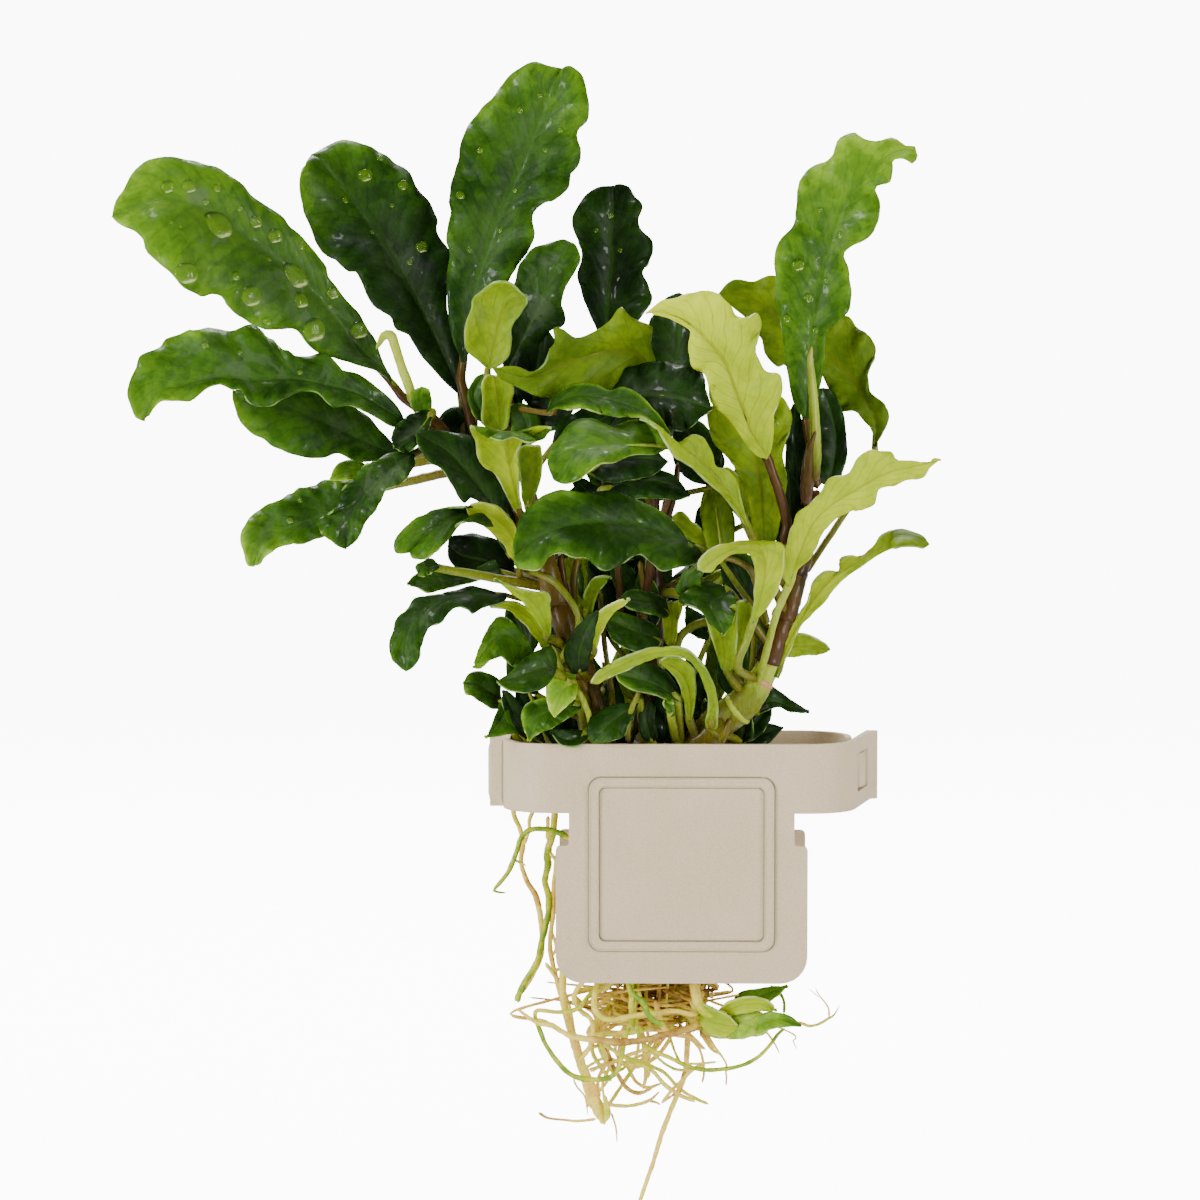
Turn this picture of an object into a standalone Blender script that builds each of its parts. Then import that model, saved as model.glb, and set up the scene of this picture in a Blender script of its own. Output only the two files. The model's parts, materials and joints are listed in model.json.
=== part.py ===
"""Bucephalandra, a wavy-leaved water plant, in a two-half plastic clip holder.

Frame: millimetres in the tables, metres in the file. +Z is up, -Y is the front, where the
raised border is. The origin is the middle of the holder, level with the underside of its
collar, where the notches that it hangs by begin.
"""

import math

import bmesh
import bpy
from mathutils import Vector

MM = 0.001
GAP = 0.35            # clearance between pieces that touch

# Holder: a collar round the rhizome and two flat plates below it.
COLLAR_HIGH = 12.6
HALF_DEEP = 12.0      # outer faces of the two plates
WALL = 1.2
NECK_HALF = 20.4
NECK_HIGH = 5.9
PLATE_HALF = 22.8
PLATE_LOW = -31.0
PLATE_CORNER = 4.9
BORDER_HALF = 16.7    # raised double line on the front plate
BORDER_TOP = 6.5
BORDER_LOW = -25.0
BORDER_WIDE = 1.7
BORDER_PROUD = 0.4
HINGE_X = -35.3       # axis of the hinge between the two halves
ARM_LEAN = 12.0       # degrees that the latch arm flares outwards
WINDOW_LOW, WINDOW_TOP = 2.9, 9.9

# Routes of the stems and of the creeping rhizome: x, y, z, radius.
STEMS = {
    "rhizome": [(-29, 2.5, 5, 2.4), (-22.5, 0, 7, 3.2), (-13, 1, 7.5, 3.6), (-3, 2, 7.5, 3.8),
                (6, 1, 8.5, 3.6), (12, 3, 7.5, 3)],
    "stem_right": [(1.5, -1, 10, 3), (6.5, -3, 15.5, 3.1), (11.5, -4, 19.5, 3), (15, -4, 25, 2.2),
                   (18.5, -4, 32.5, 1.9), (21.5, -3, 40.5, 2.1), (24, -2, 50, 2),
                   (24.5, -1, 58, 1.5)],
    "stem_left": [(-13, 0, 9, 1.9), (-15, -5, 17, 1.8), (-17.5, -7, 25.5, 1.9),
                  (-20.5, -9, 33, 2.1), (-23, -9, 40, 2), (-25, -9, 47.5, 1.8),
                  (-27, -9, 55.5, 1.5), (-29.5, -8, 65.5, 1.3), (-32.5, -6, 74, 1.1)],
    "stem_far_left": [(-24, -8, 43, 1.6), (-26.5, -5, 47, 1.6), (-30.5, -4, 52.5, 1.6),
                      (-36.5, -3, 60, 1.5), (-41.5, -3, 65.5, 1.5), (-45.5, -3, 70.5, 1.4),
                      (-48.5, -3, 73.5, 1.1)],
    "stem_centre": [(-6, 2, 9, 1.9), (-5.5, 4, 16, 1.8), (-5, 5, 27, 1.7), (-5, 5, 39, 1.6),
                    (-5.5, 5, 52, 1.5), (-6.5, 4, 61, 1.4), (-8, 2, 68.5, 1.1)],
}
GROWS_FROM = {"stem_right": "rhizome", "stem_left": "rhizome", "stem_far_left": "stem_left",
              "stem_centre": "rhizome", "side_shoot": "root_crown"}

# Rolled young leaves that still stand as spears.
SPEARS = {
    "spear_right": [(24.5, -6, 59, 1), (24, -6, 65.5, 1.1), (24, -6, 72.5, 0.9),
                    (23.5, -6, 80, 0.8), (23, -6, 84.5, 0.3)],
    "spear_left": [(-48, -7, 74, 1.1), (-50, -8, 79, 1.1), (-51.5, -9, 83.5, 1.1),
                   (-52, -10, 86, 1.1), (-54, -11, 85.5, 0.9), (-55, -12, 83.5, 0.3)],
}

# Bare roots that hang below the holder, with what each one leaves.
ROOTS = {
    "root_outer_left": ("rhizome", [
        (-28.5, 3, 5.5, 0.9), (-29.5, 4, 0.5, 0.9), (-30, 4, -3, 0.9), (-29.5, 4, -7.5, 0.9),
        (-29.5, 4, -12, 0.9), (-28, 4, -16, 0.9), (-26.5, 4, -20, 0.9), (-25.5, 4, -24.5, 0.9),
        (-25.5, 4, -29, 0.8), (-27.5, 4, -33, 0.7), (-29.5, 4, -35.5, 0.5)]),
    "root_green_left": ("rhizome", [
        (-27, -2, 6.5, 0.9), (-25, -3, 1.5, 0.9), (-26, -3, -2.5, 0.9), (-29, -3, -4.5, 0.9),
        (-30.5, -3, -7.5, 0.9), (-31, -3, -11, 0.9), (-33, -3, -13.5, 0.8),
        (-34.5, -3, -15.5, 0.5)]),
    "root_inner_left": ("rhizome", [
        (-22.5, 1, 6.5, 1.1), (-22.5, 1, 1, 1.1), (-23.5, 1, -4.5, 1.1), (-24, 1, -10, 1.1),
        (-25, 1, -15, 1.1), (-25, 0, -20.5, 1.1), (-26, 0, -26, 1), (-28.5, 0, -30.5, 0.9),
        (-30, 0, -36.5, 0.5)]),
    "root_thick_left": ("rhizome", [
        (-16.5, -4, 7, 1.3), (-19, -6, -2, 1.3), (-20, -6, -13, 1.3), (-20.5, -5, -24, 1.4),
        (-21.5, -4, -32.5, 1.4), (-21.5, -4, -37, 1.3), (-20, -4, -42, 1.3),
        (-18, -4, -47.5, 1.5), (-17, -4, -53, 1.7), (-14.5, -4, -57.5, 0.9)]),
    "root_loop": ("root_crown", [
        (-11, -5, -32.5, 0.9), (-15, -7, -34, 0.9), (-19, -8, -37, 0.9), (-23, -8, -37, 0.9),
        (-26.5, -8, -36.5, 0.9), (-26.5, -8, -39, 0.9), (-24.5, -8, -43.5, 1),
        (-21, -8, -47.5, 1), (-17, -8, -49.5, 1), (-13, -8, -49, 1), (-11, -8, -46.5, 0.9),
        (-10.5, -8, -42.5, 0.8), (-9, -7, -38, 0.8), (-8.5, -5, -33.5, 0.8)]),
    "root_long_arc": ("root_crown", [
        (-5, -4, -35.5, 0.9), (-6.5, -6, -39.5, 0.9), (-5, -7.5, -43.5, 0.9),
        (-2, -8, -45.5, 0.9), (3, -8, -47.5, 0.9), (8, -8, -47.5, 0.9), (12.5, -8, -45.5, 0.9),
        (16, -7, -43, 0.8), (18, -5, -40.5, 0.6)]),
    "root_straight": ("root_crown", [
        (1.5, 3, -36.5, 1.2), (1.5, 3, -45.5, 1.2), (0, 3, -51, 1.1), (-2, 3, -56, 1),
        (-4, 3, -63, 0.9), (-6, 3, -68.5, 0.9), (-7.5, 3, -74, 0.8), (-8.5, 3, -78, 0.4)]),
    "side_shoot": ("root_crown", [
        (-2, -1, -34, 2.2), (3, -2, -38.5, 2.4), (7.5, -2, -40.5, 2.3), (11.5, -2, -40.5, 1.7),
        (15.5, -2, -40, 1)]),
}

# Each leaf: name, what it grows from and how far along that, then stations from the end of
# its stalk to its tip (x, y, z, half width of the blade), then where its upper side faces at
# its base and at its tip (0 front, 90 up, 180 back), how far that is turned towards +X, how
# much its halves are cupped (degrees), the height of its ruffles and how many there are.
LEAVES = [
    ("leaf_far_left", "stem_far_left", 0.96,
         [(-50.5, -3, 75, 1.2), (-56, -4, 82, 3.6), (-63.5, -7, 91, 9), (-73.5, -11, 100.5, 12),
          (-85, -15, 107.5, 12), (-94.5, -18, 110, 8.5), (-101, -20, 107.5, 1)],
         38, 28, 0, 10, 1.0, 5),
    ("leaf_left_wavy", "stem_far_left", 0.84,
         [(-51.5, -8, 71.5, 1.2), (-60, -11.5, 76, 3.4), (-68.5, -14, 79.5, 5.5),
          (-77.5, -16, 81.5, 7), (-86, -18, 82.5, 8), (-93, -20, 80.5, 8), (-97.5, -21, 76, 5),
          (-96, -22, 71.5, 0.8)],
         30, 20, 0, 12, 1.4, 6),
    ("leaf_left_dark_low", "stem_far_left", 0.72,
         [(-50.5, -2, 64, 1.5), (-59.5, -3, 67.5, 5), (-67.5, -4, 70.5, 6.3), (-75, -5, 73, 6),
          (-80, -6, 74, 3.5), (-81.5, -6, 74, 0.8)],
         30, 20, 0, 10, 0.6, 3),
    ("leaf_left_lower", "stem_far_left", 0.62,
         [(-55, -2, 58, 2.5), (-62.5, -4, 54.5, 5), (-70, -4, 52, 6.2), (-74.5, -5, 50, 5.5),
          (-77.5, -6, 47, 3.6), (-78, -6, 44, 0.8)],
         30, 25, 0, 12, 0.9, 6),
    ("leaf_left_drooping", "stem_far_left", 0.8,
         [(-48.5, -11, 65.5, 1.2), (-51.5, -15, 62.5, 5), (-55.5, -18, 59, 5.6), (-59, -20, 55, 5.2),
          (-60.5, -21, 51.5, 4.2), (-60, -22, 48.5, 0.6)],
         25, 15, 0, 14, 0.9, 4),
    ("leaf_upper_left_dark", "stem_far_left", 0.66,
         [(-41.5, 3, 70, 0.9), (-42.5, 7, 77, 1.6), (-45, 8, 84, 5), (-50, 9, 94, 9.5),
          (-56.5, 10, 104, 11), (-62, 11, 112, 11.5), (-65.5, 11, 117.5, 7.5), (-68, 11, 119, 1.5)],
         15, 20, 0, 10, 1.1, 5),
    ("leaf_tall_left", "stem_far_left", 0.5,
         [(-38.5, -2, 68, 0.9), (-40, -0.5, 75, 1), (-40, 0.5, 80.5, 1.8), (-38, 1, 88.5, 5.8),
          (-35.5, 2, 98.5, 8), (-33.5, 3, 109, 9.6), (-30, 4, 119.5, 11), (-25.5, 5, 127.5, 10.5),
          (-22.5, 6, 133, 7.5), (-19.5, 6, 135.5, 1.2)],
         15, 28, 0, 10, 1.4, 7),
    ("leaf_behind_tall", "stem_left", 0.9,
         [(-29.5, -2, 76, 1.4), (-28.5, -2, 83.5, 4.4), (-26, -2, 92.5, 6.5), (-23, -2, 98, 6),
          (-21, -1, 102, 2.5), (-20, -1, 103, 0.7)],
         20, 10, 0, 8, 1.0, 6),
    ("leaf_cupped_yellow", "stem_left", 0.92,
         [(-34.5, -9, 74.5, 0.8), (-35, -9.5, 79, 1.5), (-35, -10, 83.5, 4.2), (-34.5, -11, 88.5, 5.2),
          (-32.5, -13, 93, 4.8), (-29.5, -14, 95, 3), (-28, -15, 93, 0.6)],
         175, 160, 0, 16, 0.6, 2),
    ("leaf_folded_centre", "stem_left", 0.66,
         [(-28, -17, 53.5, 1.2), (-29.5, -20, 60, 3.6), (-30.5, -22, 65.5, 6.5),
          (-30.5, -25, 69, 8), (-30.5, -29, 71, 8), (-30, -33, 70.5, 6.5), (-29, -36, 69, 2.5)],
         185, 40, 0, 8, 0.5, 3),
    ("leaf_left_dark_glossy", "stem_left", 0.62,
         [(-30, -9, 48, 1.6), (-33, -10, 54, 4.5), (-37.5, -11, 60, 6), (-42.5, -12, 65.5, 5.2),
          (-47, -13, 68, 1.2)],
         20, 30, 0, 12, 0.6, 3),
    ("leaf_dark_edge", "stem_left", 0.99,
         [(-25.5, -13, 74.5, 1), (-20, -18, 75.5, 3.2), (-14.5, -22, 75.5, 4.8), (-9, -24, 74.5, 4.8),
          (-5, -25, 72, 3.8), (-2.5, -25, 68.5, 0.8)],
         45, 35, 0, 8, 0.8, 4),
    ("leaf_veined_underside", "stem_centre", 0.99,
         [(-7.5, -3, 73, 0.9), (-6.5, -6, 78, 3), (-9, -9, 84, 6.5), (-15.5, -12, 84, 6.8),
          (-23, -14, 81.5, 5.2), (-29, -16, 78.5, 3.2), (-33.5, -17, 80.5, 0.7)],
         160, 150, 0, 10, 1.0, 5),
    ("leaf_dark_textured", "stem_centre", 0.82,
         [(-12, -6, 66, 1.3), (-11, -13, 73.5, 6), (-5, -17, 77, 8.2), (1, -19, 75.5, 6.2),
          (5.5, -20.5, 73, 0.7)],
         35, 30, 0, 8, 0.8, 4),
    ("leaf_back_dark", "stem_centre", 0.9,
         [(-10.5, 12, 69, 1), (-14, 17, 81, 4.5), (-13.5, 19, 91, 6), (-13.5, 21, 100, 6.4),
          (-13, 22, 107.5, 5.6), (-12.5, 23, 113.5, 0.9)],
         10, 5, 0, 8, 0.9, 5),
    ("leaf_front_dark", "stem_centre", 0.6,
         [(2, -12, 45, 1), (4, -22, 47.5, 2.6), (-3, -29, 51.5, 7.5), (-11, -34, 53, 9.3),
          (-19, -38, 53, 9), (-24.5, -41, 50.5, 6), (-27.5, -42, 47.5, 1)],
         42, 28, 0, 10, 1.1, 6),
    ("leaf_dark_glossy_basal", "stem_left", 0.24,
         [(-17.5, -14, 25, 1.4), (-18, -17, 28.5, 3.6), (-17, -19, 32, 4.2), (-15.5, -20, 35.5, 3),
          (-14, -21, 38, 0.8)],
         20, 15, 0, 10, 0.3, 2),
    ("leaf_pale_large", "stem_right", 0.86,
         [(19.5, -7, 53, 1.3), (16.5, -9, 60, 5), (13, -10, 68.5, 7.6), (9.5, -11, 77.5, 8),
          (5, -12, 85, 8), (-1, -13, 90, 5), (-6, -14, 91.5, 2.5), (-9.5, -14, 92, 0.7)],
         172, 165, 0, 10, 1.3, 7),
    ("leaf_twisted", "stem_right", 0.56,
         [(14.5, -12, 43, 1), (10.5, -20, 55, 2.2), (4, -25, 63, 6.2), (-3, -29, 66.5, 5.8),
          (-11, -32, 67.5, 6.8), (-17, -35, 66, 6.2), (-21, -37, 63, 3.4), (-22, -38, 60.5, 0.7)],
         190, 25, 0, 8, 1.0, 6),
    ("leaf_tall_right", "stem_right", 1.0,
         [(25, 2, 62.5, 1), (23.5, 4, 69, 2), (23, 4, 77.5, 3.6), (23.5, 4, 87, 6), (24, 4, 96, 7.4),
          (26.5, 5, 104, 8.8), (29.5, 5, 111.5, 8.4), (33, 5, 117, 7), (37.5, 5, 120, 4.5),
          (42, 6, 119, 0.9)],
         22, 32, 0, 10, 1.1, 6),
    ("leaf_behind_right_pale", "stem_right", 0.8,
         [(19, 6, 59, 0.9), (19.5, 10, 68, 1.4), (21, 12, 75.5, 2.5), (19, 13, 84, 6),
          (15, 13, 89.5, 7), (11, 13, 93, 5), (6, 13, 93, 0.8)],
         175, 170, 0, 8, 0.8, 4),
    ("leaf_right_back", "stem_right", 0.72,
         [(28.5, 6, 51, 0.8), (33.5, 10, 57, 0.9), (35.5, 11, 63.5, 1.4), (36, 12, 69, 4.2),
          (33.5, 13, 74.5, 5.2), (31, 14, 80, 5.8), (29.5, 14, 85.5, 4.6), (30.5, 14, 89, 1.2)],
         170, 175, 0, 8, 1.3, 4),
    ("leaf_right_dark", "stem_right", 0.92,
         [(27, 4, 58.5, 1.4), (27, 8, 63, 4.6), (26.5, 9, 68, 5.4), (25, 9, 73, 4.2),
          (23.5, 9, 76.5, 0.9)],
         10, 10, 0, 8, 0.7, 4),
    ("leaf_right_pale_long", "stem_right", 0.64,
         [(19.5, -11, 42, 1.2), (22.5, -16, 50, 4), (27.5, -18, 56.5, 6), (33.5, -19, 61, 5.2),
          (40, -20, 63, 3), (46, -20, 64, 0.6)],
         172, 165, 0, 8, 1.1, 5),
    ("leaf_right_long", "stem_right", 0.4,
         [(20, -5, 26.5, 1.2), (24, -4.5, 33, 3), (27.5, -5.5, 40, 5.4), (31.5, -7, 44.5, 5.2),
          (35.5, -8, 47.5, 4.2), (40, -9, 49.5, 2.8), (44.5, -10, 49, 0.6)],
         180, 75, 0, 8, 0.9, 5),
    ("leaf_pale_folded", "stem_right", 0.34,
         [(10.5, -12, 24, 0.9), (12, -18, 33.5, 1.6), (14, -22, 40.5, 5), (14.5, -24, 46, 6),
          (11.5, -28, 49, 5), (7, -32, 47, 2.8), (3.5, -34, 45, 0.7)],
         178, 110, 0, 10, 0.7, 4),
    ("leaf_small_right", "stem_right", 0.55,
         [(20.5, 7, 29.5, 3.6), (24.5, 8, 29.5, 4.2), (27.5, 9, 28.5, 2), (29.5, 9, 27, 0.6)],
         150, 150, 0, 8, 0.6, 3),
    ("leaf_low_right_dark", "stem_right", 0.25,
         [(14.5, 5, 17.5, 3), (17, 5, 19, 4), (19.5, 6, 18, 2.4), (23.5, 7, 16.5, 0.7)],
         30, 25, 0, 8, 0.4, 3),
    ("leaf_left_arched", "stem_left", 0.56,
         [(-30, -14, 47, 1.3), (-33, -17, 52, 3.6), (-36.5, -21, 55.5, 4.2), (-41, -25, 55, 5),
          (-45.5, -28, 52.5, 5.8), (-49, -30, 50, 4), (-47.5, -31, 47.5, 0.6)],
         182, 35, 0, 8, 0.7, 4),
    ("leaf_left_thin", "stem_left", 0.5,
         [(-33, -7, 42.5, 1.5), (-38, -8, 43, 2.6), (-43.5, -9, 43, 3), (-49, -11, 42, 0.6)],
         50, 60, 0, 10, 0.5, 3),
    ("leaf_left_hanging", "stem_left", 0.44,
         [(-28, -13, 38, 1.3), (-33.5, -17, 40.5, 3.2), (-40.5, -21, 40, 5), (-45.5, -24, 36.5, 5.6),
          (-48.5, -27, 31.5, 4.4), (-49, -28, 27, 0.8)],
         45, 20, 0, 12, 0.8, 4),
    ("leaf_pale_pointed", "stem_left", 0.33,
         [(-24, -16, 31.5, 1.8), (-26.5, -20, 37.5, 5), (-29.5, -22, 41, 4.2),
          (-33.5, -24, 43.5, 0.7)],
         175, 165, 0, 10, 0.5, 3),
    ("leaf_left_yellowgreen", "stem_left", 0.25,
         [(-25.5, -11, 26.5, 2), (-29, -13, 30, 4.6), (-32.5, -15, 31.5, 4.6),
          (-35.5, -16, 29.5, 2.6), (-37.5, -17, 27, 0.6)],
         30, 25, 0, 10, 0.9, 4),
    ("leaf_dark_cup", "stem_left", 0.16,
         [(-20.5, -12, 23.5, 0.9), (-23.5, -18, 25.5, 1.6), (-25, -21.5, 27.5, 4.5),
          (-28, -24, 26.5, 4.8), (-31, -26, 25.5, 2.8), (-32.5, -27, 25.5, 0.7)],
         25, 20, 0, 22, 0.2, 2),
    ("leaf_left_round", "rhizome", 0.06,
         [(-29, 1, 14.5, 0.8), (-32.5, -3, 20, 2), (-35.5, -6, 22.5, 3.4), (-38, -8, 23.5, 2.8),
          (-39.5, -9, 23.5, 0.9)],
         30, 25, 0, 10, 0.3, 2),
    ("leaf_left_rim", "rhizome", 0.16,
         [(-27, -6.5, 14, 0.8), (-30, -9, 19, 2.3), (-32.5, -10, 18, 3.2), (-34, -11, 15.8, 2.2),
          (-35.5, -11.5, 13.9, 0.6)],
         20, 20, 0, 10, 0.3, 2),
    ("leaf_yellow_edge", "rhizome", 0.3,
         [(-18.5, -9, 17, 2), (-22.5, -12.5, 18, 4.2), (-25.5, -14, 16.5, 3.6),
          (-27.5, -14, 13.5, 0.6)],
         30, 25, 0, 12, 0.6, 3),
    ("leaf_dark_basal", "rhizome", 0.55,
         [(-9, -11, 19.5, 2), (-11, -12, 17.5, 4.6), (-14, -13, 15.5, 4), (-16, -13, 13.5, 0.9)],
         30, 30, 0, 12, 0.4, 3),
    ("leaf_arched_pale", "stem_right", 0.16,
         [(7, -11, 18, 1), (5, -17, 25, 1.1), (1.5, -21, 29.5, 1.5), (-3, -23, 31, 2.4),
          (-9, -25, 29, 3.6), (-14, -27, 26.5, 3.6), (-17.5, -28, 24.5, 0.7)],
         170, 150, 0, 8, 0.4, 3),
    ("leaf_pale_arch_right", "stem_right", 0.04,
         [(1, -9, 15.5, 1.3), (0.5, -13, 22, 3.6), (-1, -15.5, 26, 3.6), (-3.5, -16.5, 28.3, 0.9)],
         175, 165, 0, 10, 0.4, 2),
    ("leaf_dark_right_centre", "stem_right", 0.44,
         [(10.5, -8, 36, 1.2), (7.5, -11, 39, 3), (5.5, -13.5, 38, 5.4), (6, -15, 35.5, 4.2),
          (6.5, -16, 33, 0.7)],
         50, 20, 0, 12, 0.6, 3),
    ("leaf_shoot", "side_shoot", 0.6,
         [(10.5, -1, -37.5, 1.6), (13, -1, -35.5, 3.4), (16, -1, -34.5, 2.8), (19.5, -1, -33, 0.6)],
         40, 30, 0, 10, 0.3, 2),
]

BLADE_THICK = 0.6
STALK_THICK = 1.5


def clear_file():
    for thing in list(bpy.data.objects):
        bpy.data.objects.remove(thing, do_unlink=True)


def new_collection(name):
    made = bpy.data.collections.new(name)
    bpy.context.scene.collection.children.link(made)
    return made


def principled(name, colour, rough, metal=0.0):
    made = bpy.data.materials.new(name)
    made.use_nodes = True
    shader = made.node_tree.nodes["Principled BSDF"]
    shader.inputs["Base Color"].default_value = (*colour, 1.0)
    shader.inputs["Roughness"].default_value = rough
    shader.inputs["Metallic"].default_value = metal
    return made


def smooth_route(stations, steps=8):
    """Points every few tenths of a station along a smooth curve through the stations."""
    points = [Vector(s) for s in stations]
    ends = [points[0] * 2 - points[1]] + points + [points[-1] * 2 - points[-2]]
    route = []
    for a, b, c, d in zip(ends, ends[1:], ends[2:], ends[3:]):
        for i in range(steps):
            t = i / steps
            route.append(0.5 * (2 * b + (c - a) * t + (2 * a - 5 * b + 4 * c - d) * t * t
                                + (3 * b - 3 * c + d - a) * t ** 3))
    route.append(points[-1])
    return route


def spaced(route, count):
    """The route read again at count evenly spaced points."""
    run = [0.0]
    for a, b in zip(route, route[1:]):
        run.append(run[-1] + (b - a).to_3d().length)
    found, k = [], 0
    for i in range(count):
        want = run[-1] * i / (count - 1)
        while k < len(run) - 2 and run[k + 1] < want:
            k += 1
        span = run[k + 1] - run[k]
        found.append(route[k].lerp(route[k + 1], (want - run[k]) / span if span else 0.0))
    return found


def tube_curve(name, stations, every, home, extra=0.0):
    """A round tube as a poly curve with filled caps, thicker by extra all round."""
    route = smooth_route(stations)
    length = sum((b - a).to_3d().length for a, b in zip(route, route[1:]))
    points = spaced(route, max(4, round(length / every) + 1))
    for end, inner in ((0, 1), (-1, -2)):
        out = (points[end] - points[inner]).to_3d().normalized() * extra
        points[end] = points[end] + Vector((*out, 0.0))
    curve = bpy.data.curves.new(name, "CURVE")
    curve.dimensions = "3D"
    curve.bevel_depth = MM
    curve.bevel_resolution = 2
    curve.use_fill_caps = True
    spline = curve.splines.new("POLY")
    spline.points.add(len(points) - 1)
    for point, at in zip(spline.points, points):
        point.co = (at.x * MM, at.y * MM, at.z * MM, 1.0)
        point.radius = at.w + extra
    made = bpy.data.objects.new(name, curve)
    home.objects.link(made)
    return made


def as_mesh(thing):
    """The thing as a closed mesh object, with its caps welded, in place of the first one."""
    bpy.context.view_layer.update()
    name, home, place = thing.name, thing.users_collection[0], thing.matrix_world.copy()
    depsgraph = bpy.context.evaluated_depsgraph_get()
    mesh = bpy.data.meshes.new_from_object(thing.evaluated_get(depsgraph))
    bpy.data.objects.remove(thing, do_unlink=True)
    mesh.transform(place)
    shape = bmesh.new()
    shape.from_mesh(mesh)
    bmesh.ops.remove_doubles(shape, verts=shape.verts, dist=0.000002)
    bmesh.ops.recalc_face_normals(shape, faces=shape.faces)
    shape.to_mesh(mesh)
    shape.free()
    mesh.name = name
    made = bpy.data.objects.new(name, mesh)
    home.objects.link(made)
    return made


def cutter(thing):
    thing.hide_render = True
    thing.display_type = "WIRE"
    return thing


def boolean(thing, other, how):
    step = thing.modifiers.new(how.lower(), "BOOLEAN")
    step.operation = how
    step.object = other
    step.solver = "EXACT"


def filleted(corners, steps=6):
    """An outline's points from corners given as x, y and the radius that rounds them."""
    points = []
    for i, (x, y, radius) in enumerate(corners):
        here = Vector((x, y))
        back = (Vector(corners[i - 1][:2]) - here).normalized()
        ahead = (Vector(corners[(i + 1) % len(corners)][:2]) - here).normalized()
        if radius <= 0.0:
            points.append(here)
            continue
        half = back.angle(ahead) / 2
        centre = here + (back + ahead).normalized() * (radius / math.sin(half))
        start = here + back * (radius / math.tan(half)) - centre
        end = here + ahead * (radius / math.tan(half)) - centre
        count = max(2, round(steps * min(1.0, radius / 2.0)))
        for k in range(count + 1):
            spoke = start.lerp(end, k / count)
            angle = start.angle(end) * k / count
            turn = math.copysign(angle, start.cross(end))
            spoke = Vector((start.x * math.cos(turn) - start.y * math.sin(turn),
                            start.x * math.sin(turn) + start.y * math.cos(turn)))
            points.append(centre + spoke)
    return points


def flat_shape(name, outlines, thick, place, turn, home):
    """A flat plate of the outlines' shape; an outline inside another is a hole."""
    curve = bpy.data.curves.new(name, "CURVE")
    curve.dimensions = "2D"
    curve.fill_mode = "BOTH"
    curve.extrude = thick / 2 * MM
    for outline in outlines:
        spline = curve.splines.new("POLY")
        spline.points.add(len(outline) - 1)
        spline.use_cyclic_u = True
        for point, at in zip(spline.points, outline):
            point.co = (at.x * MM, at.y * MM, 0.0, 1.0)
    made = bpy.data.objects.new(name, curve)
    made.location = Vector(place) * MM
    made.rotation_euler = turn
    home.objects.link(made)
    return as_mesh(made)


UPRIGHT = (math.pi / 2, 0.0, 0.0)     # turns a plan so that its y runs up and z to the front


def plate_outline():
    """The neck and plate of one half, seen from the front."""
    top = COLLAR_HIGH / 2
    half = [(PLATE_HALF, PLATE_LOW, PLATE_CORNER), (PLATE_HALF, -NECK_HIGH, 0.9),
            (NECK_HALF, -NECK_HIGH, 0.5), (NECK_HALF, top, 0.0)]
    return filleted(half + [(-x, z, r) for x, z, r in reversed(half)])


def rounded_frame(half, low, top, radius):
    return filleted([(-half, low, radius), (half, low, radius),
                     (half, top, radius), (-half, top, radius)])


def front_plan():
    """The front half of the collar from above, with hinge flange, latch arm and lip."""
    lean = math.radians(ARM_LEAN)
    along = Vector((math.sin(lean), math.cos(lean)))
    outer = Vector((31.3, -6.0))
    inner = outer + Vector((-math.cos(lean), math.sin(lean))) * WALL

    def on(line, y):
        return (line.x + along.x / along.y * (y - line.y), y)

    face = -HALF_DEEP
    return filleted([
        (HINGE_X + 0.15, -0.15, 0.0), (HINGE_X + 0.15, -1.6, 0.4), (-32.6, -1.6, 0.3),
        (-32.6, face, 9.0), (*on(outer, face), 8.5), (*on(outer, 10.0), 0.8),
        (36.1, 11.2, 0.4), (36.1, 12.4, 0.4), (*on(inner, 12.4), 0.3),
        (*on(inner, face + WALL), 7.3), (-31.4, face + WALL, 7.8), (-31.4, -0.15, 0.0)])


def rear_plan():
    """The rear half of the collar from above, with its flange at the hinge."""
    return filleted([
        (HINGE_X + 0.15, 0.15, 0.0), (-31.4, 0.15, 0.0), (-31.4, HALF_DEEP - WALL, 7.8),
        (29.8, HALF_DEEP - WALL, 7.8), (29.8, 0.15, 0.0), (31.0, 0.15, 0.0),
        (31.0, HALF_DEEP, 9.0), (-32.6, HALF_DEEP, 9.0), (-32.6, 1.6, 0.3),
        (HINGE_X + 0.15, 1.6, 0.4)])


def block(name, low, high, home):
    """A box between two corners."""
    bpy.ops.mesh.primitive_cube_add(size=1.0)
    made = bpy.context.active_object
    made.name = name
    for other in list(made.users_collection):
        other.objects.unlink(made)
    home.objects.link(made)
    for vert in made.data.vertices:
        vert.co = [(a + (b - a) * (c + 0.5)) * MM for a, b, c in zip(low, high, vert.co)]
    return made


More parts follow.
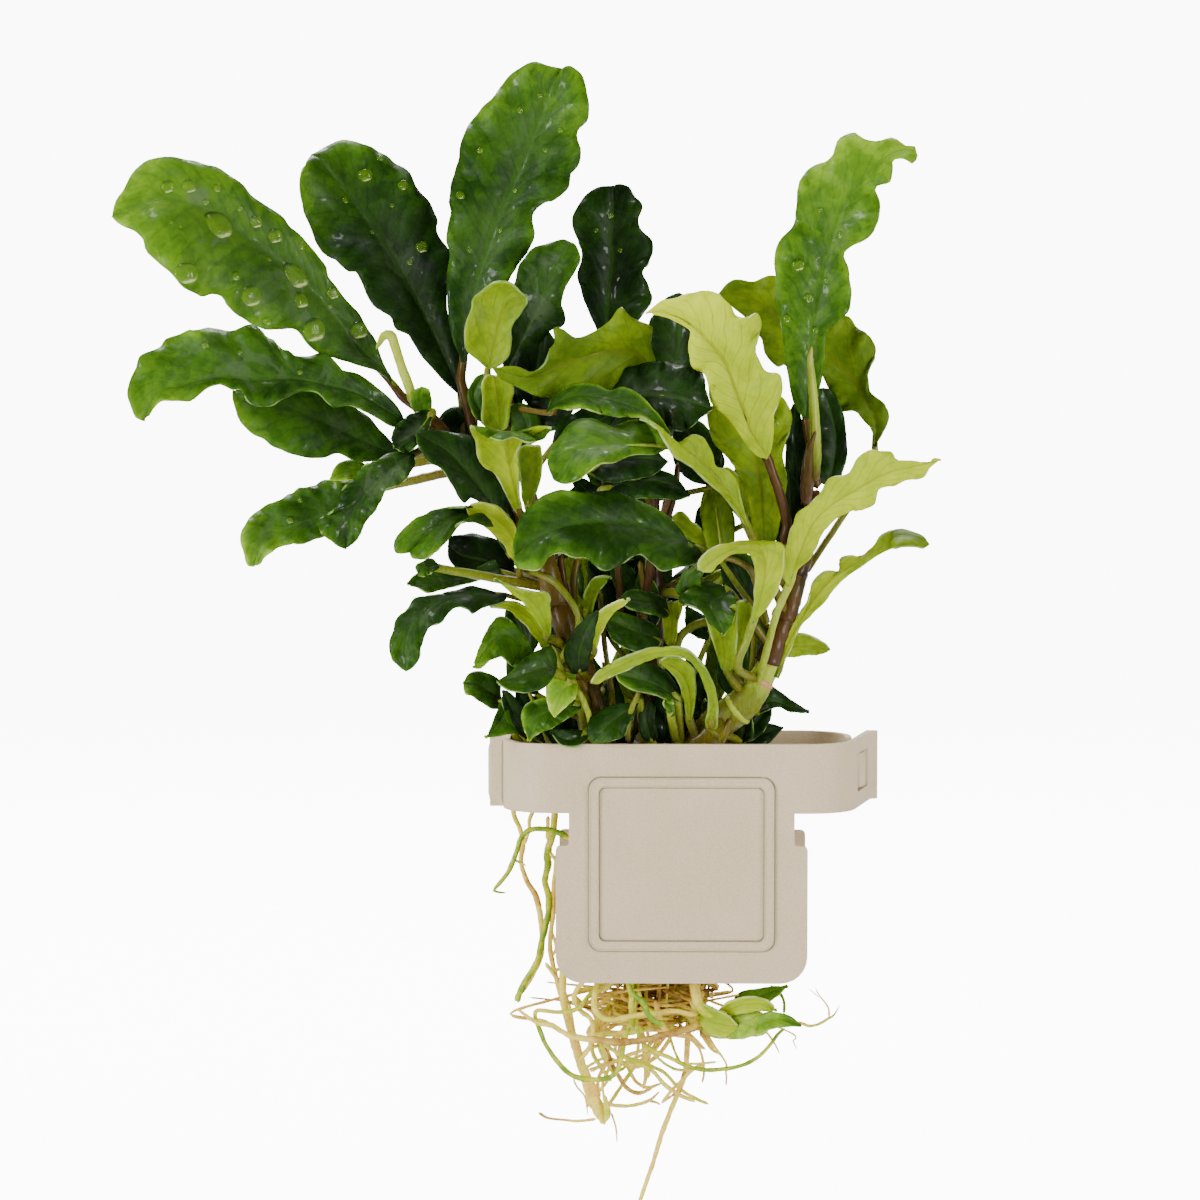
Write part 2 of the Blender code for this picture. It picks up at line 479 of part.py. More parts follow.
def holder_front(parts, tools):
    """Front half: collar with latch arm, neck, plate and the raised border."""
    middle = COLLAR_HIGH / 2
    half = flat_shape("holder_front", [front_plan()], COLLAR_HIGH, (0, 0, middle), (0, 0, 0), parts)
    deep = -HALF_DEEP + WALL / 2
    plate = flat_shape("front_plate", [plate_outline()], WALL, (0, deep, 0), UPRIGHT, tools)
    lines = [rounded_frame(BORDER_HALF, BORDER_LOW, BORDER_TOP, 2.2),
             rounded_frame(BORDER_HALF - BORDER_WIDE, BORDER_LOW + BORDER_WIDE,
                           BORDER_TOP - BORDER_WIDE, 1.2)]
    border = flat_shape("front_border", lines, 2 * BORDER_PROUD, (0, -HALF_DEEP, 0), UPRIGHT, tools)
    window = block("arm_window", (28, -2.6, WINDOW_LOW), (40, 7.6, WINDOW_TOP), tools)
    boolean(half, cutter(window), "DIFFERENCE")
    for piece in (plate, border):
        boolean(half, cutter(piece), "UNION")
    half = as_mesh(half)
    axis = Vector((HINGE_X, 0, 0)) * MM
    for vert in half.data.vertices:
        vert.co -= axis
    half.location = axis
    return half


def holder_back(parts, tools):
    """Rear half: collar, neck, plate and the catch that the arm's window snaps over."""
    middle = COLLAR_HIGH / 2
    half = flat_shape("holder_back", [rear_plan()], COLLAR_HIGH, (0, 0, middle), (0, 0, 0), parts)
    deep = HALF_DEEP - WALL / 2
    plate = flat_shape("back_plate", [plate_outline()], WALL, (0, deep, 0), UPRIGHT, tools)
    catch = block("catch", (30.5, 1.0, 4.2), (31.35, 4.6, 8.6), tools)
    for piece in (plate, catch):
        boolean(half, cutter(piece), "UNION")
    return as_mesh(half)


def root_crown(parts):
    """The matted core of the roots, narrowing from the collar to below the plates."""
    top, low = 0.6, -38.0
    bpy.ops.mesh.primitive_uv_sphere_add(segments=18, ring_count=13, radius=1.0)
    made = bpy.context.active_object
    made.name = "root_crown"
    for other in list(made.users_collection):
        other.objects.unlink(made)
    parts.objects.link(made)
    for vert in made.data.vertices:
        x, y, z = vert.co
        down = (1.0 - z) / 2
        flat = math.hypot(x, y) ** 0.45 if math.hypot(x, y) > 1e-6 else 0.0
        around = math.atan2(y, x)
        lump = 1.0 + 0.09 * math.sin(5 * around + 7 * down) + 0.06 * math.sin(9 * around - 11 * down)
        wide = (17.5 - 9.5 * down ** 1.6) * lump
        deep = (8.2 - 1.6 * down) * lump
        vert.co = Vector((-2.0 - 2.5 * down + wide * flat * math.cos(around),
                          deep * flat * math.sin(around),
                          top + (low - top) * down)) * MM
    return made


def facing(tilt, turn):
    """The direction that a leaf's upper side faces: 0 front, 90 up, 180 back."""
    tilt, turn = math.radians(tilt), math.radians(turn)
    return Vector((math.sin(turn), -math.cos(tilt) * math.cos(turn), math.sin(tilt) * math.cos(turn)))


def leaf(name, root, stations, tilts, turn, cup, wave, ripples, parts):
    """A ruffled blade on a stalk: a grid laid along the leaf's midrib, then thickened."""
    base = Vector((*root.to_3d(), 0.75))
    route = smooth_route([base, *stations])
    length = sum((b - a).to_3d().length for a, b in zip(route, route[1:]))
    rows = max(6, min(12, round(length / 5.5)))
    columns = 4 if max(s[3] for s in stations) > 6.5 else 2
    line = spaced(route, rows + 1)
    broad = max(p.w for p in line)
    frames, side = [], None
    for i, here in enumerate(line):
        ahead = (line[min(i + 1, rows)] - line[max(i - 1, 0)]).to_3d().normalized()
        tilt = tilts[0] + (tilts[1] - tilts[0]) * i / rows
        up = facing(tilt, turn)
        up -= ahead * up.dot(ahead)
        if up.length < 0.25 and frames:
            up = frames[-1][2] - ahead * frames[-1][2].dot(ahead)
        up.normalize()
        frames.append((here, ahead.cross(up), up))
    grid = bmesh.new()
    bmesh.ops.create_grid(grid, x_segments=columns, y_segments=rows, size=1.0)
    weights = []
    for vert in grid.verts:
        across = vert.co.x
        i = round((vert.co.y + 1) / 2 * rows)
        here, side, up = frames[i]
        half = max(here.w, 0.35)
        fold = math.radians(cup)
        share = min(1.0, half / broad)
        lift = half * abs(across) * math.sin(fold)
        lift += wave * share * across * across * math.sin(2 * math.pi * ripples * i / rows
                                                          + (1.3 if across > 0 else 0.0))
        spot = here.to_3d() + side * (across * half * math.cos(fold)) + up * lift
        vert.co = spot * MM
        before = i < rows * 0.5
        thin = min(1.0, max(0.0, (half - 1.0) / 2.0)) if before else 1.0
        weights.append((1 - thin) + thin * BLADE_THICK / STALK_THICK)
    mesh = bpy.data.meshes.new(name)
    grid.to_mesh(mesh)
    grid.free()
    made = bpy.data.objects.new(name, mesh)
    parts.objects.link(made)
    group = made.vertex_groups.new(name="stout")
    for index, weight in enumerate(weights):
        group.add([index], weight, "REPLACE")
    step = made.modifiers.new("thickness", "SOLIDIFY")
    step.thickness = STALK_THICK * MM
    step.offset = 0.0
    step.vertex_group = "stout"
    return made


def point_along(stations, share):
    return spaced(smooth_route(stations), 101)[round(share * 100)]


def colour_all(parts):
    """Each piece gets a material of its own."""
    for thing in parts.objects:
        name = thing.name
        if name.startswith("holder"):
            made = principled(name + "_plastic", (0.58, 0.51, 0.41), 0.55)
        elif name.startswith("root"):
            made = principled(name + "_root", (0.72, 0.58, 0.28), 0.6)
        elif name.startswith(("stem", "rhizome", "side")):
            made = principled(name + "_stem", (0.25, 0.2, 0.06), 0.45)
        elif name.startswith("spear"):
            made = principled(name + "_young_leaf", (0.5, 0.6, 0.14), 0.4)
        elif "pale" in name or "yellow" in name:
            made = principled(name + "_light_leaf", (0.42, 0.55, 0.1), 0.35)
        else:
            made = principled(name + "_leaf", (0.06, 0.16, 0.02), 0.3)
        thing.data.materials.clear()
        thing.data.materials.append(made)


def main():
    clear_file()
    parts = new_collection("bucephalandra in clip holder")
    tools = new_collection("cutters")
    holder_front(parts, tools)
    holder_back(parts, tools)
    crown = root_crown(parts)

    fat = {}
    every = {"rhizome": 4.0, "stem_right": 5.0}
    for name, stations in STEMS.items():
        step = every.get(name, 6.0)
        fat[name] = cutter(as_mesh(tube_curve(name + "_clearance", stations, step, tools, GAP)))
        made = as_mesh(tube_curve(name, stations, step, parts))
        if name in GROWS_FROM:
            boolean(made, fat[GROWS_FROM[name]], "DIFFERENCE")
    swollen = crown.copy()
    swollen.data = crown.data.copy()
    swollen.name = "root_crown_clearance"
    tools.objects.link(swollen)
    for vert in swollen.data.vertices:
        vert.co += crown.data.vertices[vert.index].normal * GAP * MM
    fat["root_crown"] = cutter(swollen)

    for name, stations in SPEARS.items():
        as_mesh(tube_curve(name, stations, 4.0, parts))
    for name, (source, stations) in ROOTS.items():
        made = as_mesh(tube_curve(name, stations, 4.0, parts))
        boolean(made, fat[source], "DIFFERENCE")
        if name == "side_shoot":
            fat[name] = cutter(as_mesh(tube_curve(name + "_clearance", stations, 4.0, tools, GAP)))

    routes = dict(STEMS, side_shoot=ROOTS["side_shoot"][1])
    for name, source, share, stations, low, high, turn, cup, wave, ripples in LEAVES:
        base = point_along(routes[source], share)
        made = leaf(name, base, stations, (low, high), turn, cup, wave, ripples, parts)
        boolean(made, fat[source], "DIFFERENCE")

    for thing in parts.objects:
        thing.data.shade_smooth()
        thing.data.set_sharp_from_angle(angle=math.radians(35))
    colour_all(parts)


main()
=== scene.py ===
# %% [markdown]
# # A bucephalandra in its clip holder
#
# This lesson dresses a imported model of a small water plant. The plant has wavy, glossy
# leaves on creeping stems. Its roots hang bare below a holder of two moulded plastic
# halves that clip together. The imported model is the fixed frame: every piece made here
# is placed in the same space, in metres, and moves with one of its two bodies. The plant
# and the rear half are the body "back", and the front half, which swings open, is "front".

import json
import math
import random

import bmesh
import bpy
from mathutils import Matrix, Vector, noise
from mathutils.bvhtree import BVHTree

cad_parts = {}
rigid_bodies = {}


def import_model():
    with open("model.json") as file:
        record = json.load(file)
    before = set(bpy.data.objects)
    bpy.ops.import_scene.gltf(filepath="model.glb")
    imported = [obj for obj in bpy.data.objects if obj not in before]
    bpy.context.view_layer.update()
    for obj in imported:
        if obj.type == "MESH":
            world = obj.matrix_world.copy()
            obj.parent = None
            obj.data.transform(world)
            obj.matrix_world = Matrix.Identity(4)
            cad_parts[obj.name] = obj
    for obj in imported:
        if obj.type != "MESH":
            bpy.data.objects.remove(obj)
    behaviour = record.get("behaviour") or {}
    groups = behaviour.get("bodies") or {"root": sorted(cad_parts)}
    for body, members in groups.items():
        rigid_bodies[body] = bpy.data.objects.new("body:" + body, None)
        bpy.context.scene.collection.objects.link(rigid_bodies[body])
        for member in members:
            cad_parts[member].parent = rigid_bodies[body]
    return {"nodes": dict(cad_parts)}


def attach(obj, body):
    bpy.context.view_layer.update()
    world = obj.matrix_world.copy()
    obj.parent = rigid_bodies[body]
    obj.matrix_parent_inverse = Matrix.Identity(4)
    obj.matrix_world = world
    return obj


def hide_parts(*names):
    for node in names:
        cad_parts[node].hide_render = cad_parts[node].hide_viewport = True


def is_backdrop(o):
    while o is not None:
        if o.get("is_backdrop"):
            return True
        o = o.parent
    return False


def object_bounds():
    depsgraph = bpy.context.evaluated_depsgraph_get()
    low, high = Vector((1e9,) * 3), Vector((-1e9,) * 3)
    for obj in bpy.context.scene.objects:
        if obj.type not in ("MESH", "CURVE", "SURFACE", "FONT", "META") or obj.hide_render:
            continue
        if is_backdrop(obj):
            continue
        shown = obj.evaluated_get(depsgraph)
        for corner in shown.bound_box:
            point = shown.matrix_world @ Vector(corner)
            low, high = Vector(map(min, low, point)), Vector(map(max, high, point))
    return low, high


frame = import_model()
cad_box = [list(corner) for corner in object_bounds()]
MM = 0.001

# %% [markdown]
# ## The camera
#
# The plant was photographed from 90 cm in front of it and slightly above, almost straight
# on. Blender's camera looks along its own -Z, so a direction can be turned into a rotation
# with to_track_quat. The picture is square, and the lens angle is set so that it takes in
# 216 mm at the plant. The same numbers also give the ray that belongs to any point of the
# picture, which is how the leaves further down are placed.

# %% Camera
PICTURE = 1200
LOOK_AT = Vector((-14.76, -12.0, 38.7))
TAKES_IN = 216.0
FROM = 900.0
turned, raised = math.radians(1.2), math.radians(4.8)
behind = Vector((math.sin(turned) * math.cos(raised), -math.cos(turned) * math.cos(raised),
                 math.sin(raised)))
eye = LOOK_AT + behind * FROM
lens = bpy.data.cameras.new("camera")
lens.angle = 2 * math.atan(TAKES_IN / 2 / FROM)
lens.clip_start = 0.05
camera = bpy.data.objects.new("camera", lens)
camera.location = eye * MM
camera.rotation_euler = (-behind).to_track_quat("-Z", "Y").to_euler()
bpy.context.scene.collection.objects.link(camera)
bpy.context.scene.camera = camera
rightward = Vector((math.cos(turned), math.sin(turned), 0.0))
upward = rightward.cross(-behind)
print("camera at", [round(c, 3) for c in camera.location])

# %% [markdown]
# ## Points of the picture in space
#
# A leaf's outline can be measured on a picture, but a picture has no depth. Each point of
# the picture is a ray from the camera, so one more number, the depth in millimetres behind
# the holder's middle, settles where on the ray the point is. Where a point lies on a
# surface whose tilt is known, the ray is cut with that surface instead. Points are written
# as text, the way an SVG polygon has them: commas between numbers, spaces between points.

# %% Rays and smooth lines
def ray(px, py):
    """The direction in which the camera sees a point of the picture, one unit deep."""
    step = TAKES_IN / (PICTURE * FROM)
    return (-behind + rightward * (px - PICTURE / 2) * step
            + upward * (PICTURE / 2 - py) * step)


def in_picture(px, py, depth):
    """The point in millimetres that is seen at px, py and is at that depth (its Y)."""
    along = ray(px, py)
    return eye + along * ((depth - eye.y) / along.y)


def points_of(line):
    """The points of a line written as text; a line that is a list stays as it is."""
    if isinstance(line, str):
        return [tuple(float(number) for number in point.split(",")) for point in line.split()]
    return line


def in_space(stations):
    """A tube's stations, measured as px, py, depth and radius, in millimetres."""
    return [(*in_picture(px, py, depth), radius) for px, py, depth, radius in points_of(stations)]


def smooth_route(stations, steps=10):
    """Points along a smooth curve through the stations, which may have any numbers."""
    points = [list(s) for s in stations]
    first = [2 * a - b for a, b in zip(points[0], points[1])]
    last = [2 * a - b for a, b in zip(points[-1], points[-2])]
    ends = [first] + points + [last]
    route = []
    for p, q, r, s in zip(ends, ends[1:], ends[2:], ends[3:]):
        for i in range(steps):
            t = i / steps
            route.append([0.5 * (2 * b + (c - a) * t + (2 * a - 5 * b + 4 * c - d) * t * t
                                 + (3 * b - 3 * c + d - a) * t ** 3)
                          for a, b, c, d in zip(p, q, r, s)])
    route.append(points[-1])
    return route


def spaced(route, count, size=3):
    """The route read again at count evenly spaced points; size numbers are its place."""
    run = [0.0]
    for a, b in zip(route, route[1:]):
        run.append(run[-1] + math.dist(a[:size], b[:size]))
    found, k = [], 0
    for i in range(count):
        want = run[-1] * i / (count - 1)
        while k < len(run) - 2 and run[k + 1] < want:
            k += 1
        span = run[k + 1] - run[k]
        t = (want - run[k]) / span if span else 0.0
        found.append([a + (b - a) * t for a, b in zip(route[k], route[k + 1])])
    return found


def ease(t):
    """0 below 0, 1 above 1, and a smooth step between them."""
    t = max(0.0, min(1.0, t))
    return t * t * (3 - 2 * t)


print("a millimetre is", round(PICTURE / TAKES_IN, 2), "points of the picture wide")

# %% [markdown]
# ## Floor and light
#
# The plant stands in front of plain white paper, lit softly from all round. One grid makes
# the floor: its rear rows are lifted into a large curve, as photographers hang paper, so no
# edge shows behind the plant, and the curve is far enough away to walk round the plant.
# Broad area lights at both sides and above give the leaves their soft reflections, and one
# behind the plant shines through the thin pale blades. A dim world fills the shadows: a
# bright one would lay a grey veil over the dark leaves. The paper shines for the camera
# alone, so it looks as white as overlit paper does, without lighting the plant. It touches
# the end of the longest root, which is the lowest point of the whole plant.

# %% Paper floor
def new_material(name):
    made = bpy.data.materials.new(name)
    made.use_nodes = True
    return made, made.node_tree, made.node_tree.nodes["Principled BSDF"]


def object_from(shape, name, materials):
    """The shape as an object at the origin, smooth shaded, in the scene."""
    mesh = bpy.data.meshes.new(name)
    shape.to_mesh(mesh)
    shape.free()
    made = bpy.data.objects.new(name, mesh)
    bpy.context.scene.collection.objects.link(made)
    for material in materials:
        mesh.materials.append(material)
    mesh.shade_smooth()
    return made


def piece(shape, name, finishes, node=None, body="back"):
    """A shape as a piece that rides on a body; node names the solid that it replaces."""
    made = object_from(shape, name, finishes)
    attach(made, body)
    if node:
        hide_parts(node)
    return made


# In metres: the curve begins behind the plant, and the paper runs on far in front of it.
FLOOR = cad_box[0][2] - 0.0006
CURVE_FROM, CURVE, WIDE, LONG, MIDDLE = 1.9, 0.6, 9.0, 7.0, -2.0
PAPER_GLOW = 10.0
sweep = bmesh.new()
bmesh.ops.create_grid(sweep, x_segments=2, y_segments=60, size=1.0)
for vert in sweep.verts:
    run = vert.co.y * LONG + MIDDLE
    bent = max(0.0, min(1.0, (run - CURVE_FROM) / (CURVE * math.pi / 2))) * math.pi / 2
    flat = min(run, CURVE_FROM)
    up = CURVE * (1 - math.cos(bent)) + max(0.0, run - CURVE_FROM - CURVE * math.pi / 2)
    vert.co = Vector((vert.co.x * WIDE, flat + CURVE * math.sin(bent), FLOOR + up))
paper, tree, shader = new_material("white_paper")
shader.inputs["Base Color"].default_value = (0.93, 0.93, 0.93, 1.0)
shader.inputs["Roughness"].default_value = 0.9
shader.inputs["Specular IOR Level"].default_value = 0.1
shader.inputs["Emission Color"].default_value = (1.0, 1.0, 1.0, 1.0)
seen = tree.nodes.new("ShaderNodeMath")
seen.operation = "MULTIPLY"
seen.inputs[1].default_value = PAPER_GLOW
tree.links.new(tree.nodes.new("ShaderNodeLightPath").outputs["Is Camera Ray"], seen.inputs[0])
tree.links.new(seen.outputs[0], shader.inputs["Emission Strength"])
floor = object_from(sweep, "paper_floor", [paper])
floor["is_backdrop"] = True
print("the paper lies at", round(FLOOR / MM, 1), "mm")

# %% Lights
world = bpy.data.worlds.new("white_room")
world.use_nodes = True
sky = world.node_tree.nodes["Background"]
sky.inputs["Color"].default_value = (1.0, 1.0, 1.0, 1.0)
sky.inputs["Strength"].default_value = 0.16
bpy.context.scene.world = world


def soft_light(name, place, wide, high, watts):
    """A rectangular lamp, in metres, that shines at the middle of the plant."""
    lamp = bpy.data.lights.new(name, "AREA")
    lamp.shape = "RECTANGLE"
    lamp.size, lamp.size_y = wide, high
    lamp.energy = watts
    made = bpy.data.objects.new(name, lamp)
    made.location = place
    made.rotation_euler = (PLANT_MIDDLE - Vector(place)).to_track_quat("-Z", "Y").to_euler()
    bpy.context.scene.collection.objects.link(made)


PLANT_MIDDLE = Vector((-0.015, 0.0, 0.045))
soft_light("light_left", (-0.92, -0.72, 0.22), 0.5, 0.8, 25.0)
soft_light("light_right", (0.95, -0.66, 0.12), 0.5, 0.8, 19.5)
soft_light("light_top", (-0.15, 0.05, 1.0), 0.3, 0.3, 4.0)
soft_light("light_rear", (-0.10, 0.42, 0.50), 0.6, 0.3, 8.0)

# %% [markdown]
# ## Effects that several finishes share
#
# A shader node group is built once and then placed in as many materials as need it. Here
# there are three: veins that leave a midrib like the barbs of a feather, blotches that vary
# a colour unevenly, and the fine grain of moulded plastic. A group only hands out masks and
# heights. The shader itself stays in each material, which keeps the group free of anything
# that belongs to light. The helpers below make one node each and return what it puts out.

# %% Node helpers
def new_group(name, inputs, outputs):
    """A node group with float inputs (name: default; None is a vector) and outputs."""
    made = bpy.data.node_groups.new(name, "ShaderNodeTree")
    for label, default in inputs.items():
        kind = "NodeSocketVector" if default is None else "NodeSocketFloat"
        socket = made.interface.new_socket(label, in_out="INPUT", socket_type=kind)
        if default is not None:
            socket.default_value = default
    for label in outputs:
        made.interface.new_socket(label, in_out="OUTPUT", socket_type="NodeSocketFloat")
    return made, made.nodes.new("NodeGroupInput").outputs, made.nodes.new("NodeGroupOutput")


def feed(tree, socket, value):
    """Sets a socket to a number, or links another socket to it."""
    if isinstance(value, bpy.types.NodeSocket):
        tree.links.new(value, socket)
    else:
        socket.default_value = value


def feed_all(tree, node, values):
    """Feeds the inputs named by the keys, in which an underscore stands for a space."""
    for label, value in values.items():
        feed(tree, node.inputs[label.replace("_", " ")], value)
    return node.outputs


def sum_of(tree, operation, *values):
    node = tree.nodes.new("ShaderNodeMath")
    node.operation = operation
    for socket, value in zip(node.inputs, values):
        feed(tree, socket, value)
    return node.outputs[0]


def times(tree, one, other):
    return sum_of(tree, "MULTIPLY", one, other)


def shifted(tree, value, by, scale, offset):
    """The value plus scale times another one, plus an offset."""
    return sum_of(tree, "ADD", value, sum_of(tree, "MULTIPLY_ADD", by, scale, offset))


def step_between(tree, value, low, high, start=0.0, end=1.0):
    """A smooth step of a value from low to high."""
    node = tree.nodes.new("ShaderNodeMapRange")
    node.interpolation_type = "SMOOTHSTEP"
    for socket, number in zip(node.inputs, (value, low, high, start, end)):
        feed(tree, socket, number)
    return node.outputs["Result"]


def noise_of(tree, place, scale, detail=3.0, rough=0.5, bend=0.0):
    node = tree.nodes.new("ShaderNodeTexNoise")
    return feed_all(tree, node, dict(Vector=place, Scale=scale, Detail=detail, Roughness=rough,
                                     Distortion=bend))["Fac"]


def mixed(tree, share, one, other):
    """Two colours mixed by a share; a colour of three numbers is opaque."""
    node = tree.nodes.new("ShaderNodeMix")
    node.data_type = "RGBA"
    for socket, value in zip((node.inputs[0], node.inputs[6], node.inputs[7]), (share, one, other)):
        feed(tree, socket, (*value, 1.0) if isinstance(value, tuple) else value)
    return node.outputs[2]


def ramp(tree, value, stops):
    node = tree.nodes.new("ShaderNodeValToRGB")
    feed(tree, node.inputs[0], value)
    points = node.color_ramp.elements
    while len(points) < len(stops):
        points.new(0.5)
    for point, (place, colour) in zip(points, stops):
        point.position = place
        point.color = (*colour, 1.0)
    return node.outputs["Color"]


def place_of(tree):
    return tree.nodes.new("ShaderNodeTexCoord").outputs["Object"]


def painted(tree, name):
    """A value that was painted on the mesh under that name."""
    node = tree.nodes.new("ShaderNodeAttribute")
    node.attribute_name = name
    return node.outputs["Fac"]


def placed(tree, group, **values):
    node = tree.nodes.new("ShaderNodeGroup")
    node.node_tree = group
    return feed_all(tree, node, values)


def bumped(tree, height, strength, distance, over=None):
    node = tree.nodes.new("ShaderNodeBump")
    values = dict(Height=height, Strength=strength, Distance=distance)
    return feed_all(tree, node, values if over is None else {**values, "Normal": over})["Normal"]


print("node helpers are ready")

# %% Veins
# The blade's UV map runs from 0 to 1 across the leaf, and in centimetres along it.
veins, given, handed = new_group("pinnate_veins", {"Blade": None, "Place": None, "Per cm": 3.2,
                                                   "Lean": 2.4, "Width": 0.1},
                                 ("Veins", "Midrib", "Out", "Puffed"))
parts = veins.nodes.new("ShaderNodeSeparateXYZ")
feed(veins, parts.inputs[0], given["Blade"])
across, along = parts.outputs[0], parts.outputs[1]
out = sum_of(veins, "ABSOLUTE", sum_of(veins, "MULTIPLY_ADD", across, 2.0, -1.0))
bow = times(veins, sum_of(veins, "POWER", out, 0.8), given["Lean"])
run = sum_of(veins, "SUBTRACT", times(veins, along, given["Per cm"]), bow)
run = shifted(veins, run, noise_of(veins, given["Place"], 260.0, 2.0), 0.9, -0.45)
phase = shifted(veins, run, sum_of(veins, "GREATER_THAN", across, 0.5), 0.45, 0.0)
gap = sum_of(veins, "ABSOLUTE", sum_of(veins, "SUBTRACT", sum_of(veins, "FRACT", phase), 0.5))
line = step_between(veins, gap, 0.0, given["Width"], 1.0, 0.0)
fade = step_between(veins, out, 0.75, 1.0, 1.0, 0.15)
feed_all(veins, handed, dict(Veins=times(veins, line, fade), Out=out,
                             Midrib=step_between(veins, out, 0.03, 0.11, 1.0, 0.0),
                             Puffed=times(veins, step_between(veins, gap, 0.0, 0.4), fade)))

# %% Blotches and grain
blotches, given, handed = new_group("uneven_blotches", {"Place": None, "Size": 300.0},
                                    ("Broad", "Small", "Specks"))
place, size = given["Place"], given["Size"]
broad = noise_of(blotches, place, size, 2.0, 0.5, 0.6)
small = noise_of(blotches, place, times(blotches, size, 5.0), 4.0, 0.6)
specks = noise_of(blotches, place, times(blotches, size, 9.0), 1.0)
feed_all(blotches, handed, dict(Broad=step_between(blotches, broad, 0.35, 0.65),
                                Small=step_between(blotches, small, 0.3, 0.7),
                                Specks=step_between(blotches, specks, 0.66, 0.74)))

grain, given, handed = new_group("fine_grain", {"Place": None, "Size": 2500.0}, ("Height", "Patches"))
place, size = given["Place"], given["Size"]
feed_all(grain, handed, dict(Height=noise_of(grain, place, size, 5.0, 0.7),
                             Patches=noise_of(grain, place, times(grain, size, 0.02), 3.0, 0.55)))
print("effect groups:", [g.name for g in bpy.data.node_groups])

# %% [markdown]
# ## Leaf finishes
#
# A bucephalandra leaf has two very different faces. The upper one is dark and glossy, wet
# here, with paler, yellower margins; a grey sheen along its middle and grey patches of wet
# film are a painted reflection in its colour. The under side is a dull yellow-green with fine
# dark veins and a brownish midrib. One material for each face serves every leaf: how dark
# and how yellow a spot is, is painted on the mesh as the value tone, how strong its painted
# sheen is as a second value, and the materials only turn those into colours.
# A little light passes through a blade, so a translucent shader is mixed in.

# %% Upper side of a leaf
def with_light_through(tree, shader, colour, share):
    """Lets a share of the light pass through a blade."""
    through = tree.nodes.new("ShaderNodeBsdfTranslucent")
    feed(tree, through.inputs["Color"], colour)
    both = tree.nodes.new("ShaderNodeMixShader")
    both.inputs[0].default_value = share
    tree.links.new(shader.outputs[0], both.inputs[1])
    tree.links.new(through.outputs[0], both.inputs[2])
    tree.links.new(both.outputs[0], tree.nodes["Material Output"].inputs["Surface"])


def veined(tree, **values):
    """The vein group on a blade, placed by the blade's own map."""
    node = tree.nodes.new("ShaderNodeUVMap")
    node.uv_map = "blade"
    return placed(tree, veins, Blade=node.outputs[0], Place=place_of(tree), **values)


def varied_tone(tree, size, broad, small=None):
    """The painted tone with blotches of a size; broad and small are their share and offset."""
    spots = placed(tree, blotches, Place=place_of(tree), Size=size)
    tone = shifted(tree, painted(tree, "tone"), spots["Broad"], *broad)
    return spots, shifted(tree, tone, spots["Small"], *small) if small else tone


leaf_top, tree, shader = new_material("leaf_upper_side")
marks = veined(tree, Width=0.16)
spots, tone = varied_tone(tree, 330.0, (0.12, -0.075), (0.05, -0.025))
green = ramp(tree, shifted(tree, tone, marks["Veins"], -0.05, 0.0),
             [(0.0, (0.002, 0.008, 0.0008)), (0.2, (0.007, 0.030, 0.001)),
              (0.42, (0.030, 0.088, 0.003)), (0.62, (0.085, 0.19, 0.006)),
              (0.82, (0.20, 0.35, 0.015)), (1.0, (0.44, 0.54, 0.07))])
# Painted reflection: a smooth grey-green sheen along the middle of the blade and hard-edged grey patches
# where a wet film would mirror the lamps are mixed into the colour.
haze = painted(tree, "haze")
painted_sheen_share = times(tree, haze, step_between(tree, spots["Small"], 0.0, 1.0, 0.44, 0.5))
green = mixed(tree, painted_sheen_share, green, (0.048, 0.100, 0.018))
painted_wet_reflection = step_between(tree, noise_of(tree, place_of(tree), 105.0, 3.0, 0.55, 1.2), 0.575, 0.60)
green = mixed(tree, times(tree, painted_wet_reflection, times(tree, haze, 0.78)), green, (0.075, 0.105, 0.055))
green = mixed(tree, times(tree, marks["Midrib"], 0.25), green, (0.05, 0.12, 0.02))
green = mixed(tree, times(tree, spots["Specks"], painted(tree, "specks")), green, (0.035, 0.02, 0.008))
wet = noise_of(tree, place_of(tree), 420.0, 3.0, 0.6, 0.8)
relief = bumped(tree, shifted(tree, marks["Puffed"], marks["Midrib"], -1.5, 0.0), 0.12, 0.0004)
relief = bumped(tree, noise_of(tree, place_of(tree), 1900.0, 4.0, 0.6), 0.22, 0.00008, relief)
feed_all(tree, shader, dict(
    Base_Color=green, Roughness=step_between(tree, wet, 0.3, 0.7, 0.40, 0.55), Specular_IOR_Level=0.09,
    Coat_Weight=step_between(tree, wet, 0.56, 0.66, 0.0, 0.3), Coat_Roughness=0.09, Normal=relief))
with_light_through(tree, shader, green, 0.05)

# %% Under side and margin
leaf_under, tree, shader = new_material("leaf_under_side")
marks, fine = veined(tree, Width=0.09), veined(tree, Per_cm=11.0, Lean=6.5, Width=0.3)
spots, tone = varied_tone(tree, 260.0, (0.11, -0.05), (0.06, -0.03))
pale = ramp(tree, tone, [(0.0, (0.030, 0.065, 0.002)), (0.3, (0.12, 0.21, 0.003)),
                         (0.6, (0.33, 0.47, 0.004)), (1.0, (0.69, 0.79, 0.015))])
for mask, strength, colour in ((marks["Veins"], 0.3, (0.08, 0.12, 0.005)),
                               (fine["Veins"], 0.10, (0.10, 0.16, 0.006)),
                               (marks["Midrib"], 0.35, (0.17, 0.15, 0.012))):
    pale = mixed(tree, times(tree, mask, strength), pale, colour)
relief = bumped(tree, sum_of(tree, "ADD", marks["Veins"], marks["Midrib"]), 0.25, 0.0003)
relief = bumped(tree, noise_of(tree, place_of(tree), 1700.0, 4.0, 0.6), 0.25, 0.0001, relief)
feed_all(tree, shader, dict(Base_Color=pale, Roughness=0.5, Specular_IOR_Level=0.15, Normal=relief))
with_light_through(tree, shader, pale, 0.35)

